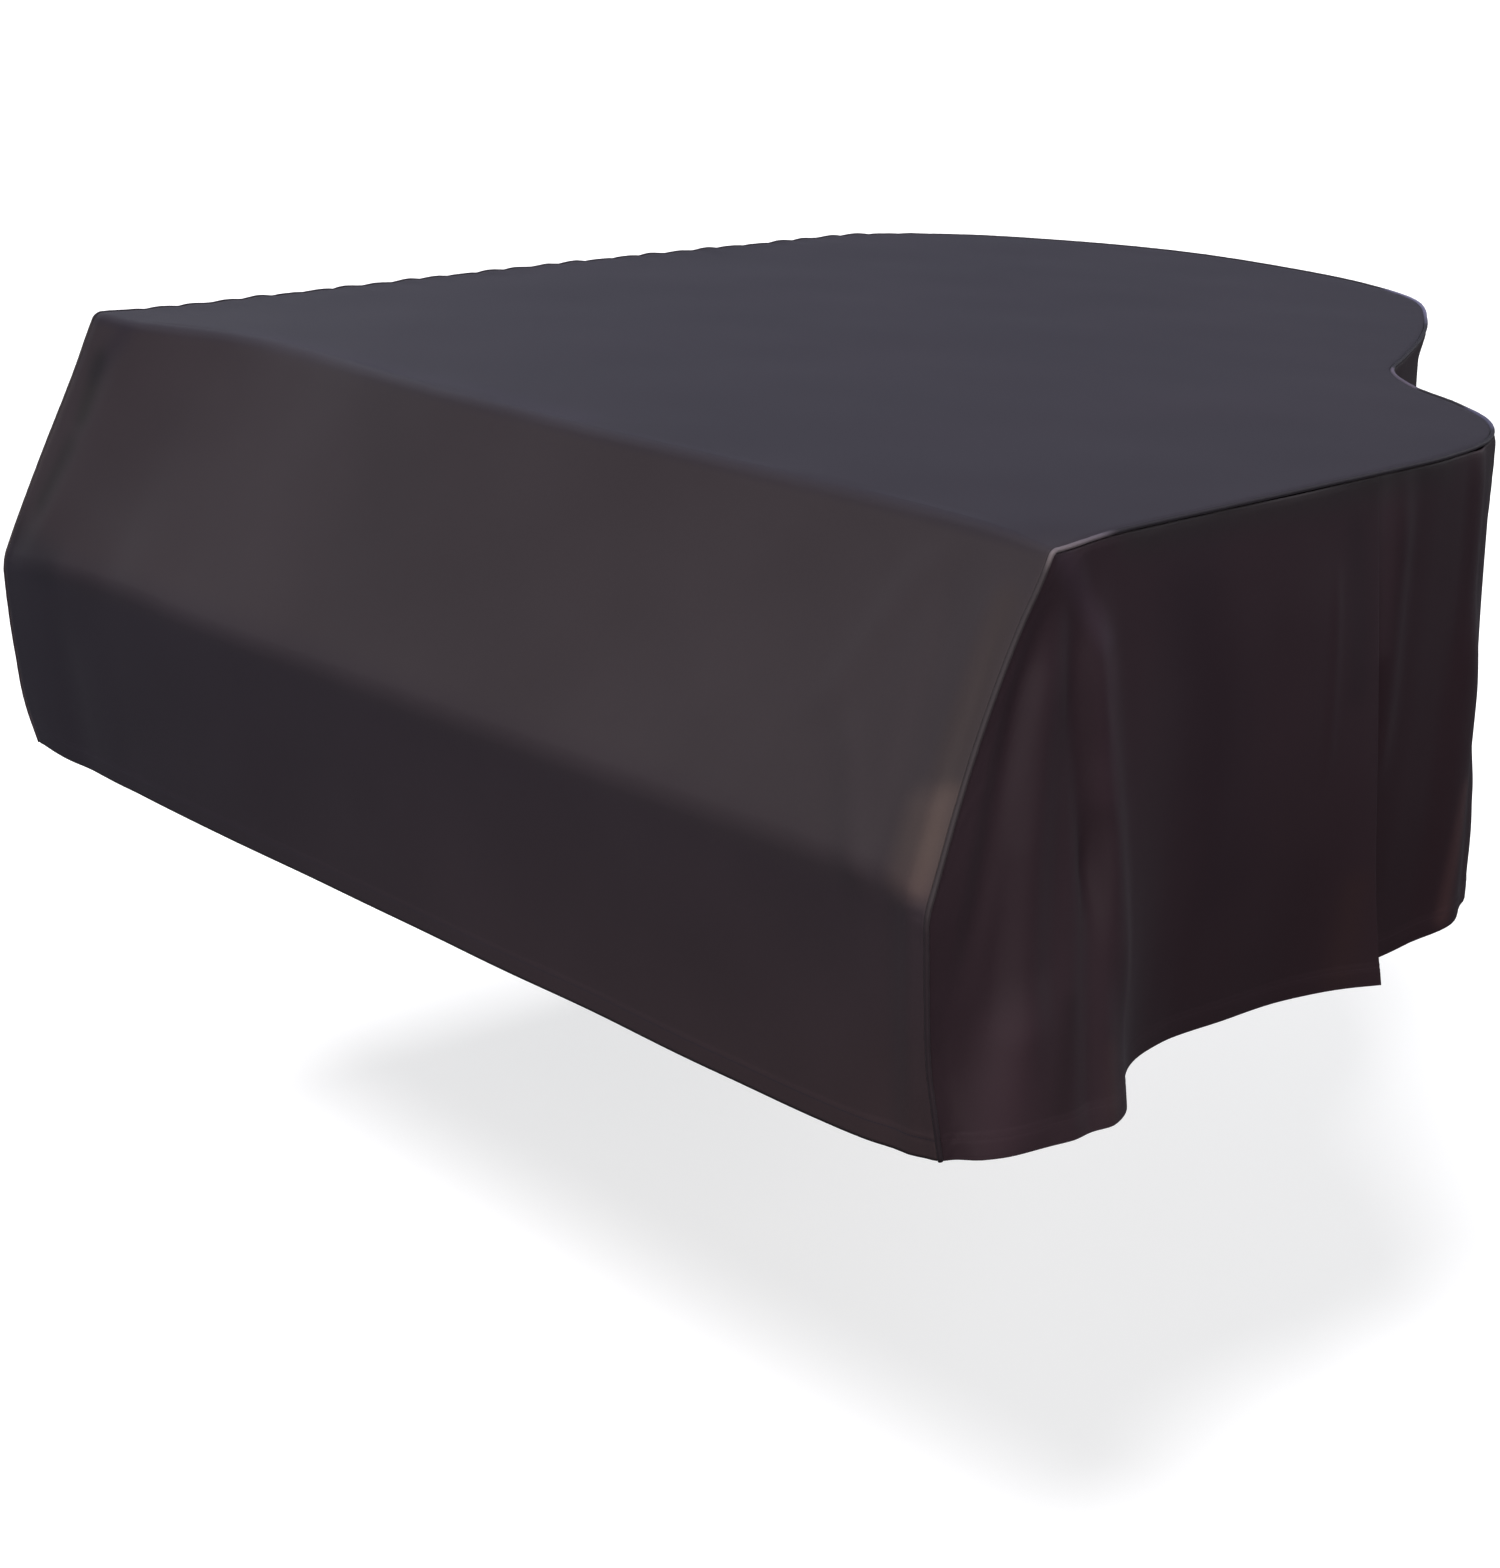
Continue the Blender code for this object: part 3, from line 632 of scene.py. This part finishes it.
def fold_out(folds, along, drop):
    """How far the folds of a table stand out, each fading over its first and last quarter."""
    total = np.zeros(np.broadcast(along, drop).shape)
    for _, along_top, drop_top, along_low, drop_low, half_width, out in folds:
        share = (drop - drop_top) / (drop_low - drop_top)
        away = np.abs(along - along_top - (along_low - along_top) * share) / half_width
        total += out * ramp(share * 4) * ramp((1 - share) * 4) * (1 - ramp(away))
    return total


def puckers(along, seed):
    """The small uneven gathers that a sewn seam draws into the cloth beside it."""
    draw = np.random.default_rng(seed)
    total = np.zeros_like(along)
    for pitch in PUCKER_PITCHES:
        strength = 1 + 0.6 * np.sin(along * TURN / (pitch * 7.3) + draw.uniform(0, PHASES))
        total += strength * np.sin(along * TURN / pitch + draw.uniform(0, PHASES))
    return total / 3


def scallops(along):
    """The lift of the spine's edge between the places where its seam is caught down."""
    phase = (along - station("spine rear")) / SCALLOP_PITCH
    uneven = 1 + 0.35 * np.sin(phase * 2.3) + 0.2 * np.sin(phase * 5.1 + 1.0)
    rear = ramp((along - station("tail corner")) / SCALLOP_REAR_FADE)
    front = ramp((PLAN_LENGTH - SCALLOP_FRONT_END - along) / SCALLOP_FRONT_FADE)
    return SCALLOP * (rear * front) * uneven * np.abs(np.sin(phase * math.pi))


def seam_relief(distance, along, seed):
    """Cloth beside the corded seam: it dips to the cord, with puckers that fade."""
    dip = -SEAM_DIP * bell(distance / SEAM_DIP_WIDTH)
    clear = 1 - bell(distance / CORD_CLEAR)
    return dip + PUCKER * puckers(along, seed) * np.exp(-distance / PUCKER_REACH) * clear


def hem_relief(height):
    """The turned hem: a doubled band with the groove of its stitching."""
    band = HEM_RISE * (1 - ramp((height - HEM_WIDTH) / HEM_STEP))
    return band - STITCH_GROOVE * bell((height - HEM_WIDTH + STITCH_INSET) / GROOVE_WIDTH)


def soft_swell(a, b, seed, size=SWELL):
    """The slow unevenness of hanging cloth."""
    draw = np.random.default_rng(seed)
    total = np.zeros(np.broadcast(a, b).shape)
    for pitch in SWELL_PITCHES:
        turn = draw.uniform(0, math.pi)
        way = (a * math.cos(turn) + b * math.sin(turn)) * TURN / pitch
        across = (b * math.cos(turn) - a * math.sin(turn)) * TURN / (pitch * SWELL_STRETCH)
        total += np.sin(way + draw.uniform(0, PHASES)) * np.sin(across + draw.uniform(0, PHASES)) * pitch
    return total * size / SWELL_PITCHES[0]


def spread(share, knots):
    """Moves even shares to the places given by (share, place) knots."""
    return np.interp(share, [k[0] for k in knots], [k[1] for k in knots])


def wall_share(v):
    """The share of the way from the top edge to the hem, closest at the hem and the rim."""
    return 1 - spread(v, WALL_KNOTS)


def treble_sheet(u, v):
    """The treble side: u runs from the front seam to the lap, v from the hem to the top."""
    u = spread(u, TREBLE_KNOTS)
    share = wall_share(v)
    hem = curve(TREBLE_HEM, 3, u * TREBLE_REAR_HEM)
    drop = WALL_TOP + (hem - WALL_TOP) * share
    rear = TREBLE_REAR_TOP + (TREBLE_REAR_HEM - TREBLE_REAR_TOP) * share
    front = back_on(TREBLE_EDGE, drop)
    back = front + (rear - front) * u
    behind = back - front
    # The cloth leaves the plan's edge on the slow half of a ramp, and is all out at the hem.
    start = curve(TREBLE_HEM, 2, back)
    out = curve(TREBLE_HEM, 1, back) * ramp((drop - start) / (HEM_DROP - start) * 0.5) * 2
    out += fold_out(TREBLE_FOLDS, back, drop) + soft_swell(back, drop, seed=11)
    out *= ramp(behind / SEAM_STIFFNESS)
    out += seam_relief(np.minimum(drop - WALL_TOP, behind * SEAM_SLANT), back + drop, seed=12)
    out += hem_relief(hem - drop) * ramp(behind / HEM_END)
    out += seam_out(drop, False) * (1 - ramp(behind / TREBLE_LEAN_REACH))
    return place(TREBLE_WIDTH + out, back, drop), back, hem - drop


def skirt_out(along, drop, hem):
    """How far the skirt hangs outside the plan: in under the rim, then out to its hem."""
    tuck = station_curve(5, along)
    return (station_curve(3, along) + tuck) * (drop / hem) ** 1.5 - tuck * ramp(drop / RIM_DEPTH)


def beside_plan(along, out, drop):
    """Points outside the plan's edge by out, lifted where the rim's seam is scalloped."""
    at, outward = plan_point(along)
    at = at + outward * out[:, None]
    return place(at[:, 0], at[:, 1], drop - scallops(along) * np.exp(-drop / SCALLOP_REACH))


def skirt_sheet(u, v):
    """The bentside and tail: u runs from the lap to the spine seam, v up to the top."""
    start = along_at_back(TREBLE_REAR_TOP - LAP_WIDTH, True)
    end = along_at_back(SPINE_SEAM_BACK, False) - SPINE_SEAM_GAP
    along = start + (end - start) * u
    hem = station_curve(4, along)
    drop = WALL_TOP + (hem - WALL_TOP) * wall_share(v)
    out = skirt_out(along, drop, hem) + fold_out(SKIRT_FOLDS, along, drop)
    eased = ramp((along - start - LAP_WIDTH) / SWELL_EASE)
    out += soft_swell(along, drop, seed=21) * ramp(drop / SWELL_EASE) * eased
    out -= LAP_DEPTH * (1 - ramp((along - start - 2 * LAP_WIDTH) / LAP_RUN_OUT))
    out += seam_relief(drop - WALL_TOP, along, seed=22) + hem_relief(hem - drop)
    return beside_plan(along, out, drop), along, hem - drop


def spine_sheet(u, v):
    """The spine side: u runs from the tail seam to the bass front seam."""
    u = spread(u, SPINE_KNOTS)
    start = along_at_back(SPINE_SEAM_BACK, False)
    hem = station_curve(4, start + (PLAN_LENGTH - start) * u)
    drop = WALL_TOP + (hem - WALL_TOP) * wall_share(v)
    front = back_on(BASS_EDGE, drop)
    along = start + (PLAN_LENGTH - front - start) * u
    behind = PLAN_LENGTH - front - along
    loose = ramp(behind / SEAM_STIFFNESS)
    out = skirt_out(along, drop, hem) * ramp(behind / BASS_FLARE_REACH)
    out += fold_out(SPINE_FOLDS, PLAN_LENGTH - along, drop) * loose
    out += seam_out(drop, True) * (1 - ramp(behind / BASS_FLARE_REACH))
    out += soft_swell(along, drop, seed=31) * ramp(drop / SWELL_EASE) * loose
    out += seam_relief(np.minimum(drop - WALL_TOP, behind * SEAM_SLANT), along + drop, seed=32)
    out += hem_relief(hem - drop) * ramp(behind / HEM_END)
    return beside_plan(along, out, drop), along, hem - drop


def front_sheet(u, w):
    """The front strip between its side seams, at a place w on its profile."""
    x = (BASS_WIDTH + TREBLE_WIDTH) * u - BASS_WIDTH
    profile = front_profile(x, w)
    drop = profile[:, 1]
    bass, treble = (half_span(drop, side, EDGE_INSET) for side in (True, False))
    across = -bass + (bass + treble) * u
    inside = np.minimum(across + bass, treble - across)
    sag = -SLOPE_SAG * np.clip(1 - (2 * w - 3) ** 2, 0, 1) * ramp(np.minimum(u, 1 - u) / SAG_EASE)
    lift = sag + fold_out(SLOPE_FOLDS, across, drop) * ramp(inside / FOLD_EASE)
    lift += soft_swell(across, drop, seed=41) * ramp(inside / FRONT_SWELL_EASE) * ramp(w)
    lift += seam_relief(inside, drop, seed=42) + hem_relief(curve(FRONT_HEM, 1, x) - drop) * (w > 3)
    profile = profile + front_outward(x, w) * lift[:, None]
    return place(across, profile[:, 0], profile[:, 1])


def nearest_edge():
    """The plan's edge, ready to be asked for its nearest point."""
    tree = KDTree(len(PLAN_X))
    for i, (x, back) in enumerate(zip(PLAN_X, PLAN_BACK)):
        tree.insert((x, back, 0.0), i)
    tree.balance()
    return tree


def top_ends():
    """Where the top crease meets the treble edge and the bass edge of the plan."""
    return [along_at_back(front_profile(x, 0.0)[0], x > 0) for x in (TREBLE_WIDTH, -BASS_WIDTH)]


def top_sheet(u, v):
    """The top, spanned between the crease, the two long edges and the tail."""
    start, bass_start = top_ends()
    ways = [start if name is None else station(name) for _, name in TOP_SHARES]
    treble = plan_point(np.interp(v, [row[0] for row in TOP_SHARES], ways), EDGE_INSET)[0]
    corner, shoulder = station("tail corner"), station("tail shoulder")
    bass = plan_point(bass_start + (corner - bass_start) * v, EDGE_INSET)[0]
    tail = plan_point(corner + (shoulder - corner) * u, EDGE_INSET)[0]
    ends = plan_point(np.array([corner, shoulder]), EDGE_INSET)[0]
    zero = np.zeros_like(u)
    crease, first, last = (front_sheet(at, zero)[:, :2] - (0, FRONT_FACE) for at in (u, zero, zero + 1))
    u, v = u[:, None], v[:, None]
    at = crease * (1 - v) + tail * v + bass * (1 - u) + treble * u
    at -= (first * (1 - u) + last * u) * (1 - v) + (ends[0] * (1 - u) + ends[1] * u) * v
    tree = nearest_edge()
    found = [tree.find((x, back, 0.0)) for x, back in at]
    distance = np.maximum(np.array([f[2] for f in found]) - EDGE_INSET, 0)
    along = PLAN_ALONG[[f[1] for f in found]]
    lift = seam_relief(distance, along, seed=51) + scallops(along) * np.exp(-distance / SCALLOP_REACH)
    lift += soft_swell(at[:, 0], at[:, 1], seed=52, size=TOP_SWELL) * ramp(distance / TOP_SWELL_EASE)
    return place(at[:, 0], at[:, 1], -lift)


def strip_sheet(u, v):
    """The one cloth of front, slope and top: v runs from the front hem to the tail."""
    u = spread(u, STRIP_SIDE_KNOTS)
    share = STRIP_KNOTS[-1][0]
    w = spread(v, STRIP_KNOTS)
    front = v <= share + NEARLY
    points = np.empty((len(u), 3))
    points[front] = front_sheet(u[front], w[front])
    points[~front] = top_sheet(u[~front], (v[~front] - share) / (1 - share))
    x = (BASS_WIDTH + TREBLE_WIDTH) * u - BASS_WIDTH
    back, drop = front_profile(x, w).T
    run = np.where(front, drop - back, FRONT_FACE - points[:, 1])
    hem = np.where(front & (w > 3), curve(FRONT_HEM, 1, x) - drop, FAR_FROM_HEM)
    return points, points[:, 0], hem, run


def piping_line():
    """The cord's middle line: up a front corner and slope, round the lid, and down again."""
    steps = [np.linspace(first, first - 1, count)[1:] for first, count in CORD_STEPS]
    w = np.concatenate([[CORD_STEPS[0][0]], *steps])
    sides = []
    for x in (-BASS_WIDTH, TREBLE_WIDTH):
        at = front_profile(x, w) - front_outward(x, w) * PIPING_INSET
        reach = half_span(front_profile(x, w)[:, 1], x < 0, PIPING_INSET) * np.sign(x)
        sides.append(place(reach, at[:, 0], at[:, 1]))
    start, end = top_ends()
    along = np.linspace(end, start, CORD_LID_POINTS)[1:-1]
    lid = plan_point(along, PIPING_INSET)[0]
    lid = place(lid[:, 0], lid[:, 1], PIPING_INSET - scallops(along))
    return np.concatenate([sides[0], lid, sides[1][::-1]])


def ride_as(name, mesh, node_name, finish):
    """A piece that stands for a CAD node, hides that node and rides on the root body."""
    data = bpy.data.meshes.new(name)
    mesh.to_mesh(data)
    mesh.free()
    data.shade_smooth()
    data.materials.append(finish)
    piece = bpy.data.objects.new(name, data)
    bpy.context.scene.collection.objects.link(piece)
    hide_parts(node_name)
    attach(piece, "root")
    return piece


def cloth_piece(name, node_name, columns, rows, shape, finish):
    """A sheet laid on a shape of (u, v), with its cloth and hem coordinates in metres."""
    mesh = bmesh.new()
    bmesh.ops.create_grid(mesh, x_segments=columns, y_segments=rows, size=0.5)
    flat = np.round(np.array([vert.co[:2] for vert in mesh.verts]) + 0.5, 7)
    points, across, hem, *rest = shape(flat[:, 0], flat[:, 1])
    down = rest[0] if rest else hem
    for vert, point in zip(mesh.verts, points):
        vert.co = point
    for layer_name, values in (("cloth", down), ("hem", hem)):
        layer = mesh.loops.layers.uv.new(layer_name)
        for face in mesh.faces:
            for loop in face.loops:
                loop[layer].uv = (across[loop.vert.index], values[loop.vert.index])
    piece = ride_as(name, mesh, node_name, finish)
    solid = piece.modifiers.new("thickness", "SOLIDIFY")
    solid.thickness = CLOTH
    solid.offset = -1.0
    solid.use_even_offset = True
    return piece


def piping_piece(name, node_name, finish):
    """The cloth-covered cord: a tube swept along its line, with its ends closed."""
    line = piping_line()
    last = len(line) - 1
    run = np.gradient(line, axis=0)
    run /= np.linalg.norm(run, axis=1, keepdims=True)
    middle = np.array([0.0, line[:, 1].mean(), line[:, 2].min() - CORD_AIM_DEPTH])
    aside = np.cross(run, middle - line)
    aside /= np.linalg.norm(aside, axis=1, keepdims=True)
    up = np.cross(aside, run)
    way = np.concatenate([[0], np.cumsum(np.linalg.norm(np.diff(line, axis=0), axis=1))])
    radius = PIPING_RADIUS * (1 + CORD_LUMPS * puckers(way, seed=61))
    mesh = bmesh.new()
    bmesh.ops.create_grid(mesh, x_segments=CORD_SIDES, y_segments=last, size=0.5)
    layer = mesh.loops.layers.uv.new("cloth")
    for face in mesh.faces:
        for loop in face.loops:
            turn = (loop.vert.co.x + 0.5) * TURN * PIPING_RADIUS
            loop[layer].uv = (turn, way[round((loop.vert.co.y + 0.5) * last)])
    for vert in mesh.verts:
        i = round((vert.co.y + 0.5) * last)
        turn = (vert.co.x + 0.5) * TURN
        vert.co = line[i] + radius[i] * (aside[i] * math.cos(turn) + up[i] * math.sin(turn))
    bmesh.ops.remove_doubles(mesh, verts=mesh.verts, dist=CORD_WELD)
    ends = [edge for edge in mesh.edges if edge.is_boundary]
    bmesh.ops.holes_fill(mesh, edges=ends, sides=CORD_SIDES)
    bmesh.ops.recalc_face_normals(mesh, faces=mesh.faces)
    return ride_as(name, mesh, node_name, finish)


def node(tree, kind, values=None, **settings):
    """A shader node with its settings, and a number or a link for each named input."""
    made = tree.nodes.new(kind)
    for key, value in settings.items():
        setattr(made, key, value)
    for key, value in (values or {}).items():
        if isinstance(value, bpy.types.NodeSocket):
            tree.links.new(value, made.inputs[key])
        else:
            made.inputs[key].default_value = value
    return made


def math_node(tree, operation, *values):
    return node(tree, "ShaderNodeMath", dict(enumerate(values)), operation=operation).outputs[0]


def vector_node(tree, operation, values):
    return node(tree, "ShaderNodeVectorMath", values, operation=operation).outputs


def weighed_sum(tree, *parts):
    """The sum of (value, weight) parts."""
    total, *rest = [math_node(tree, "MULTIPLY", value, weight) for value, weight in parts]
    for part in rest:
        total = math_node(tree, "ADD", total, part)
    return total


def map_range(tree, value, span, onto=(0.0, 1.0), **settings):
    """A value's place in one span, as its place in another."""
    values = dict(enumerate((value, *span, *onto)))
    return node(tree, "ShaderNodeMapRange", values, **settings).outputs[0]


def mix_colours(tree, share, first, second, blend="MIX"):
    """Two colours mixed by a share. A mix of colours has its inputs at 0, 6 and 7."""
    made = node(tree, "ShaderNodeMix", {0: share, 6: first, 7: second}, data_type="RGBA", blend_type=blend)
    return made.outputs[2]


def noise(tree, at, scale, detail, roughness):
    values = {"Vector": at, "Scale": scale, "Detail": detail, "Roughness": roughness}
    return node(tree, "ShaderNodeTexNoise", values).outputs[0]


def set_inputs(shader, values):
    for name, value in values.items():
        shader.inputs[name].default_value = value


def tone_by_height(tree, place_at, tones):
    """The cloth's colour from the hem up; on the top cloth and the cord it holds painted shade and a
    painted highlight.
    """
    height = node(tree, "ShaderNodeSeparateXYZ", {0: place_at}).outputs[2]
    bands = node(tree, "ShaderNodeValToRGB", {0: map_range(tree, height, (-HEM_DROP, TONE_TOP))})
    stops = bands.color_ramp.elements
    for _ in tones[2:]:
        stops.new(0.5)
    for stop, (drop, colour) in zip(stops, tones):
        stop.position = 1 - drop / HEM_DROP
        stop.color = (*colour, 1.0)
    return bands.outputs[0]


def paint_light_lines(tree, place_at, base, painted_lines):
    """The cloth's colour, changed softly: paler along each line of painted highlight, darker along each
    line of painted shade.
    """
    for *ends, reach, gain in painted_lines:
        start, end = (np.array([x, FRONT_FACE + back, TOP_FACE - drop]) for x, back, drop in ends)
        run = end - start
        apart = vector_node(tree, "SUBTRACT", {0: place_at, 1: start})[0]
        dot = vector_node(tree, "DOT_PRODUCT", {0: apart, 1: run / (run @ run)})["Value"]
        share = node(tree, "ShaderNodeClamp", {0: dot}).outputs[0]
        nearest = vector_node(tree, "SCALE", {0: run, "Scale": share})[0]
        away = vector_node(tree, "DISTANCE", {0: apart, 1: nearest})["Value"]
        fade = map_range(tree, away, (0.0, reach), (1.0, 0.0), interpolation_type="SMOOTHSTEP")
        base = mix_colours(tree, fade, base, (*gain, 1.0), "MULTIPLY")
    return base


def hem_stitches(tree, base, height, colour):
    """A line of short thread stitches in the groove of the turned hem."""
    hem = node(tree, "ShaderNodeUVMap", uv_map="hem").outputs[0]
    across, up = node(tree, "ShaderNodeSeparateXYZ", {0: hem}).outputs[:2]
    dash = math_node(tree, "FRACT", math_node(tree, "DIVIDE", across, STITCH_PITCH))
    drawn = math_node(tree, "LESS_THAN", dash, STITCH_SHARE)
    away = math_node(tree, "ABSOLUTE", math_node(tree, "SUBTRACT", up, HEM_WIDTH - STITCH_INSET))
    thread = math_node(tree, "MULTIPLY", drawn, math_node(tree, "LESS_THAN", away, THREAD_HALF_WIDTH))
    pale = tuple(channel * THREAD_PALENESS for channel in colour)
    raised = math_node(tree, "ADD", height, math_node(tree, "MULTIPLY", thread, THREAD_RISE))
    return mix_colours(tree, thread, base, (*pale, 1.0)), raised


def cloth_finish(name, near_tones, stitched, painted_lines, far_tones=None, axis=0, span=(0, 1)):
    """Charcoal cloth: a fine close weave, soft slubs, a dull sheen and cloudy depths.
    Its near tones change to the far ones over a span of one of the object's axes."""
    made = bpy.data.materials.new(name)
    made.use_nodes = True
    tree = made.node_tree
    place_at = node(tree, "ShaderNodeTexCoord").outputs["Object"]
    cloth = node(tree, "ShaderNodeUVMap", uv_map="cloth").outputs[0]
    cloud = noise(tree, place_at, *CLOUD)
    nap = noise(tree, place_at, *NAP)
    drawn_out = node(tree, "ShaderNodeMapping", {"Vector": cloth, "Scale": SLUB_STRETCH}).outputs[0]
    slub = noise(tree, drawn_out, *SLUB)
    across, down = node(tree, "ShaderNodeSeparateXYZ", {0: cloth}).outputs[:2]
    warp, weft = (
        math_node(tree, "SINE", math_node(tree, "MULTIPLY", way, TURN / WEAVE_PITCH))
        for way in (across, down)
    )
    plain = tone_by_height(tree, place_at, near_tones)
    if far_tones:
        share = map_range(tree, node(tree, "ShaderNodeSeparateXYZ", {0: place_at}).outputs[axis], span)
        plain = mix_colours(tree, share, plain, tone_by_height(tree, place_at, far_tones))
    # Painted highlights and painted shade along the listed lines.
    plain = paint_light_lines(tree, place_at, plain, painted_lines)
    shade = map_range(tree, weighed_sum(tree, (cloud, 0.7), (nap, 0.3)), (0.3, 0.7), SHADES)
    base = vector_node(tree, "SCALE", {0: plain, "Scale": shade})[0]
    weave = math_node(tree, "MULTIPLY", warp, weft)
    height = weighed_sum(tree, (nap, 0.6), (slub, 0.35), (weave, 0.25))
    if stitched:
        base, height = hem_stitches(tree, base, height, near_tones[0][1])
    rough = map_range(tree, cloud, (0.0, 1.0), ROUGHNESSES)
    relief = {"Height": height, "Strength": BUMP_STRENGTH, "Distance": BUMP_HEIGHT}
    bump = node(tree, "ShaderNodeBump", relief).outputs[0]
    shader = tree.nodes["Principled BSDF"]
    tree.links.new(base, shader.inputs["Base Color"])
    tree.links.new(rough, shader.inputs["Roughness"])
    tree.links.new(bump, shader.inputs["Normal"])
    set_inputs(shader, SHEEN)
    return made


def add_object(name, data):
    made = bpy.data.objects.new(name, data)
    bpy.context.scene.collection.objects.link(made)
    return made


def studio_floor():
    """A plain pale floor, which neither tints the cloth nor shows in it."""
    mesh = bmesh.new()
    bmesh.ops.create_grid(mesh, x_segments=1, y_segments=1, size=FLOOR_SIZE)
    bmesh.ops.translate(mesh, verts=mesh.verts, vec=(0, 0, FLOOR))
    data = bpy.data.meshes.new("studio_floor")
    mesh.to_mesh(data)
    mesh.free()
    floor = add_object("studio_floor", data)
    paint = bpy.data.materials.new("studio_floor")
    paint.use_nodes = True
    set_inputs(paint.node_tree.nodes["Principled BSDF"], FLOOR_PAINT)
    data.materials.append(paint)
    floor.visible_diffuse = False
    floor.visible_glossy = False


def studio_light():
    world = bpy.data.worlds.new("studio")
    bpy.context.scene.world = world
    world.use_nodes = True
    set_inputs(world.node_tree.nodes["Background"], BACKGROUND)
    for name, turn, height, spread_angle, strength, colour in SUNS:
        lamp = bpy.data.lights.new(name, "SUN")
        lamp.angle = math.radians(spread_angle)
        lamp.energy = strength
        lamp.color = colour
        holder = add_object(name, lamp)
        holder.rotation_euler = (math.radians(90 - height), 0, math.radians(90 + turn))


def camera():
    data = bpy.data.cameras.new("camera")
    data.sensor_width = SENSOR_WIDTH
    data.lens = LENS
    data.clip_end = CLIP_END
    holder = add_object("camera", data)
    holder.location = CAMERA_PLACE
    holder.rotation_euler = (math.radians(90 - CAMERA_DIP), 0, math.radians(CAMERA_TURN))
    bpy.context.scene.camera = holder


def main():
    camera()
    studio_floor()
    studio_light()
    bpy.context.scene.view_settings.view_transform = "Standard"
    # The top cloth's colours by height and end are painted shade, and the lines on all three cloths are
    # painted highlights and painted shade.
    top_finish = cloth_finish("top_cloth", TOP_BASS_COLOURS_AND_SHADE, True, TOP_PAINTED_LIGHT_AND_SHADE,
                              TOP_TREBLE_COLOURS_AND_SHADE, 0, (-BASS_WIDTH, TREBLE_WIDTH))
    side_finish = cloth_finish("side_cloth", SIDE_FRONT_TONES, True, SIDE_PAINTED_LIGHT_AND_SHADE,
                               SIDE_REAR_TONES, 1,
                               (FRONT_FACE + SIDE_TONES_START, FRONT_FACE + SIDE_TONES_END))
    cord_finish = cloth_finish("piping_cloth", CORD_COLOURS_AND_HIGHLIGHT, False, CORD_PAINTED_HIGHLIGHTS)
    strip = cloth_piece("top_front_cloth", "top_front_panel", 180, 210, strip_sheet, top_finish)
    treble = cloth_piece("treble_side_cloth", "treble_side_panel", 120, 100, treble_sheet, side_finish)
    skirt = cloth_piece("bentside_tail_cloth", "bentside_tail_panel", 300, 90, skirt_sheet, side_finish)
    spine = cloth_piece("spine_side_cloth", "spine_side_panel", 130, 80, spine_sheet, side_finish)
    piping = piping_piece("seam_cord", "seam_piping", cord_finish)


main()
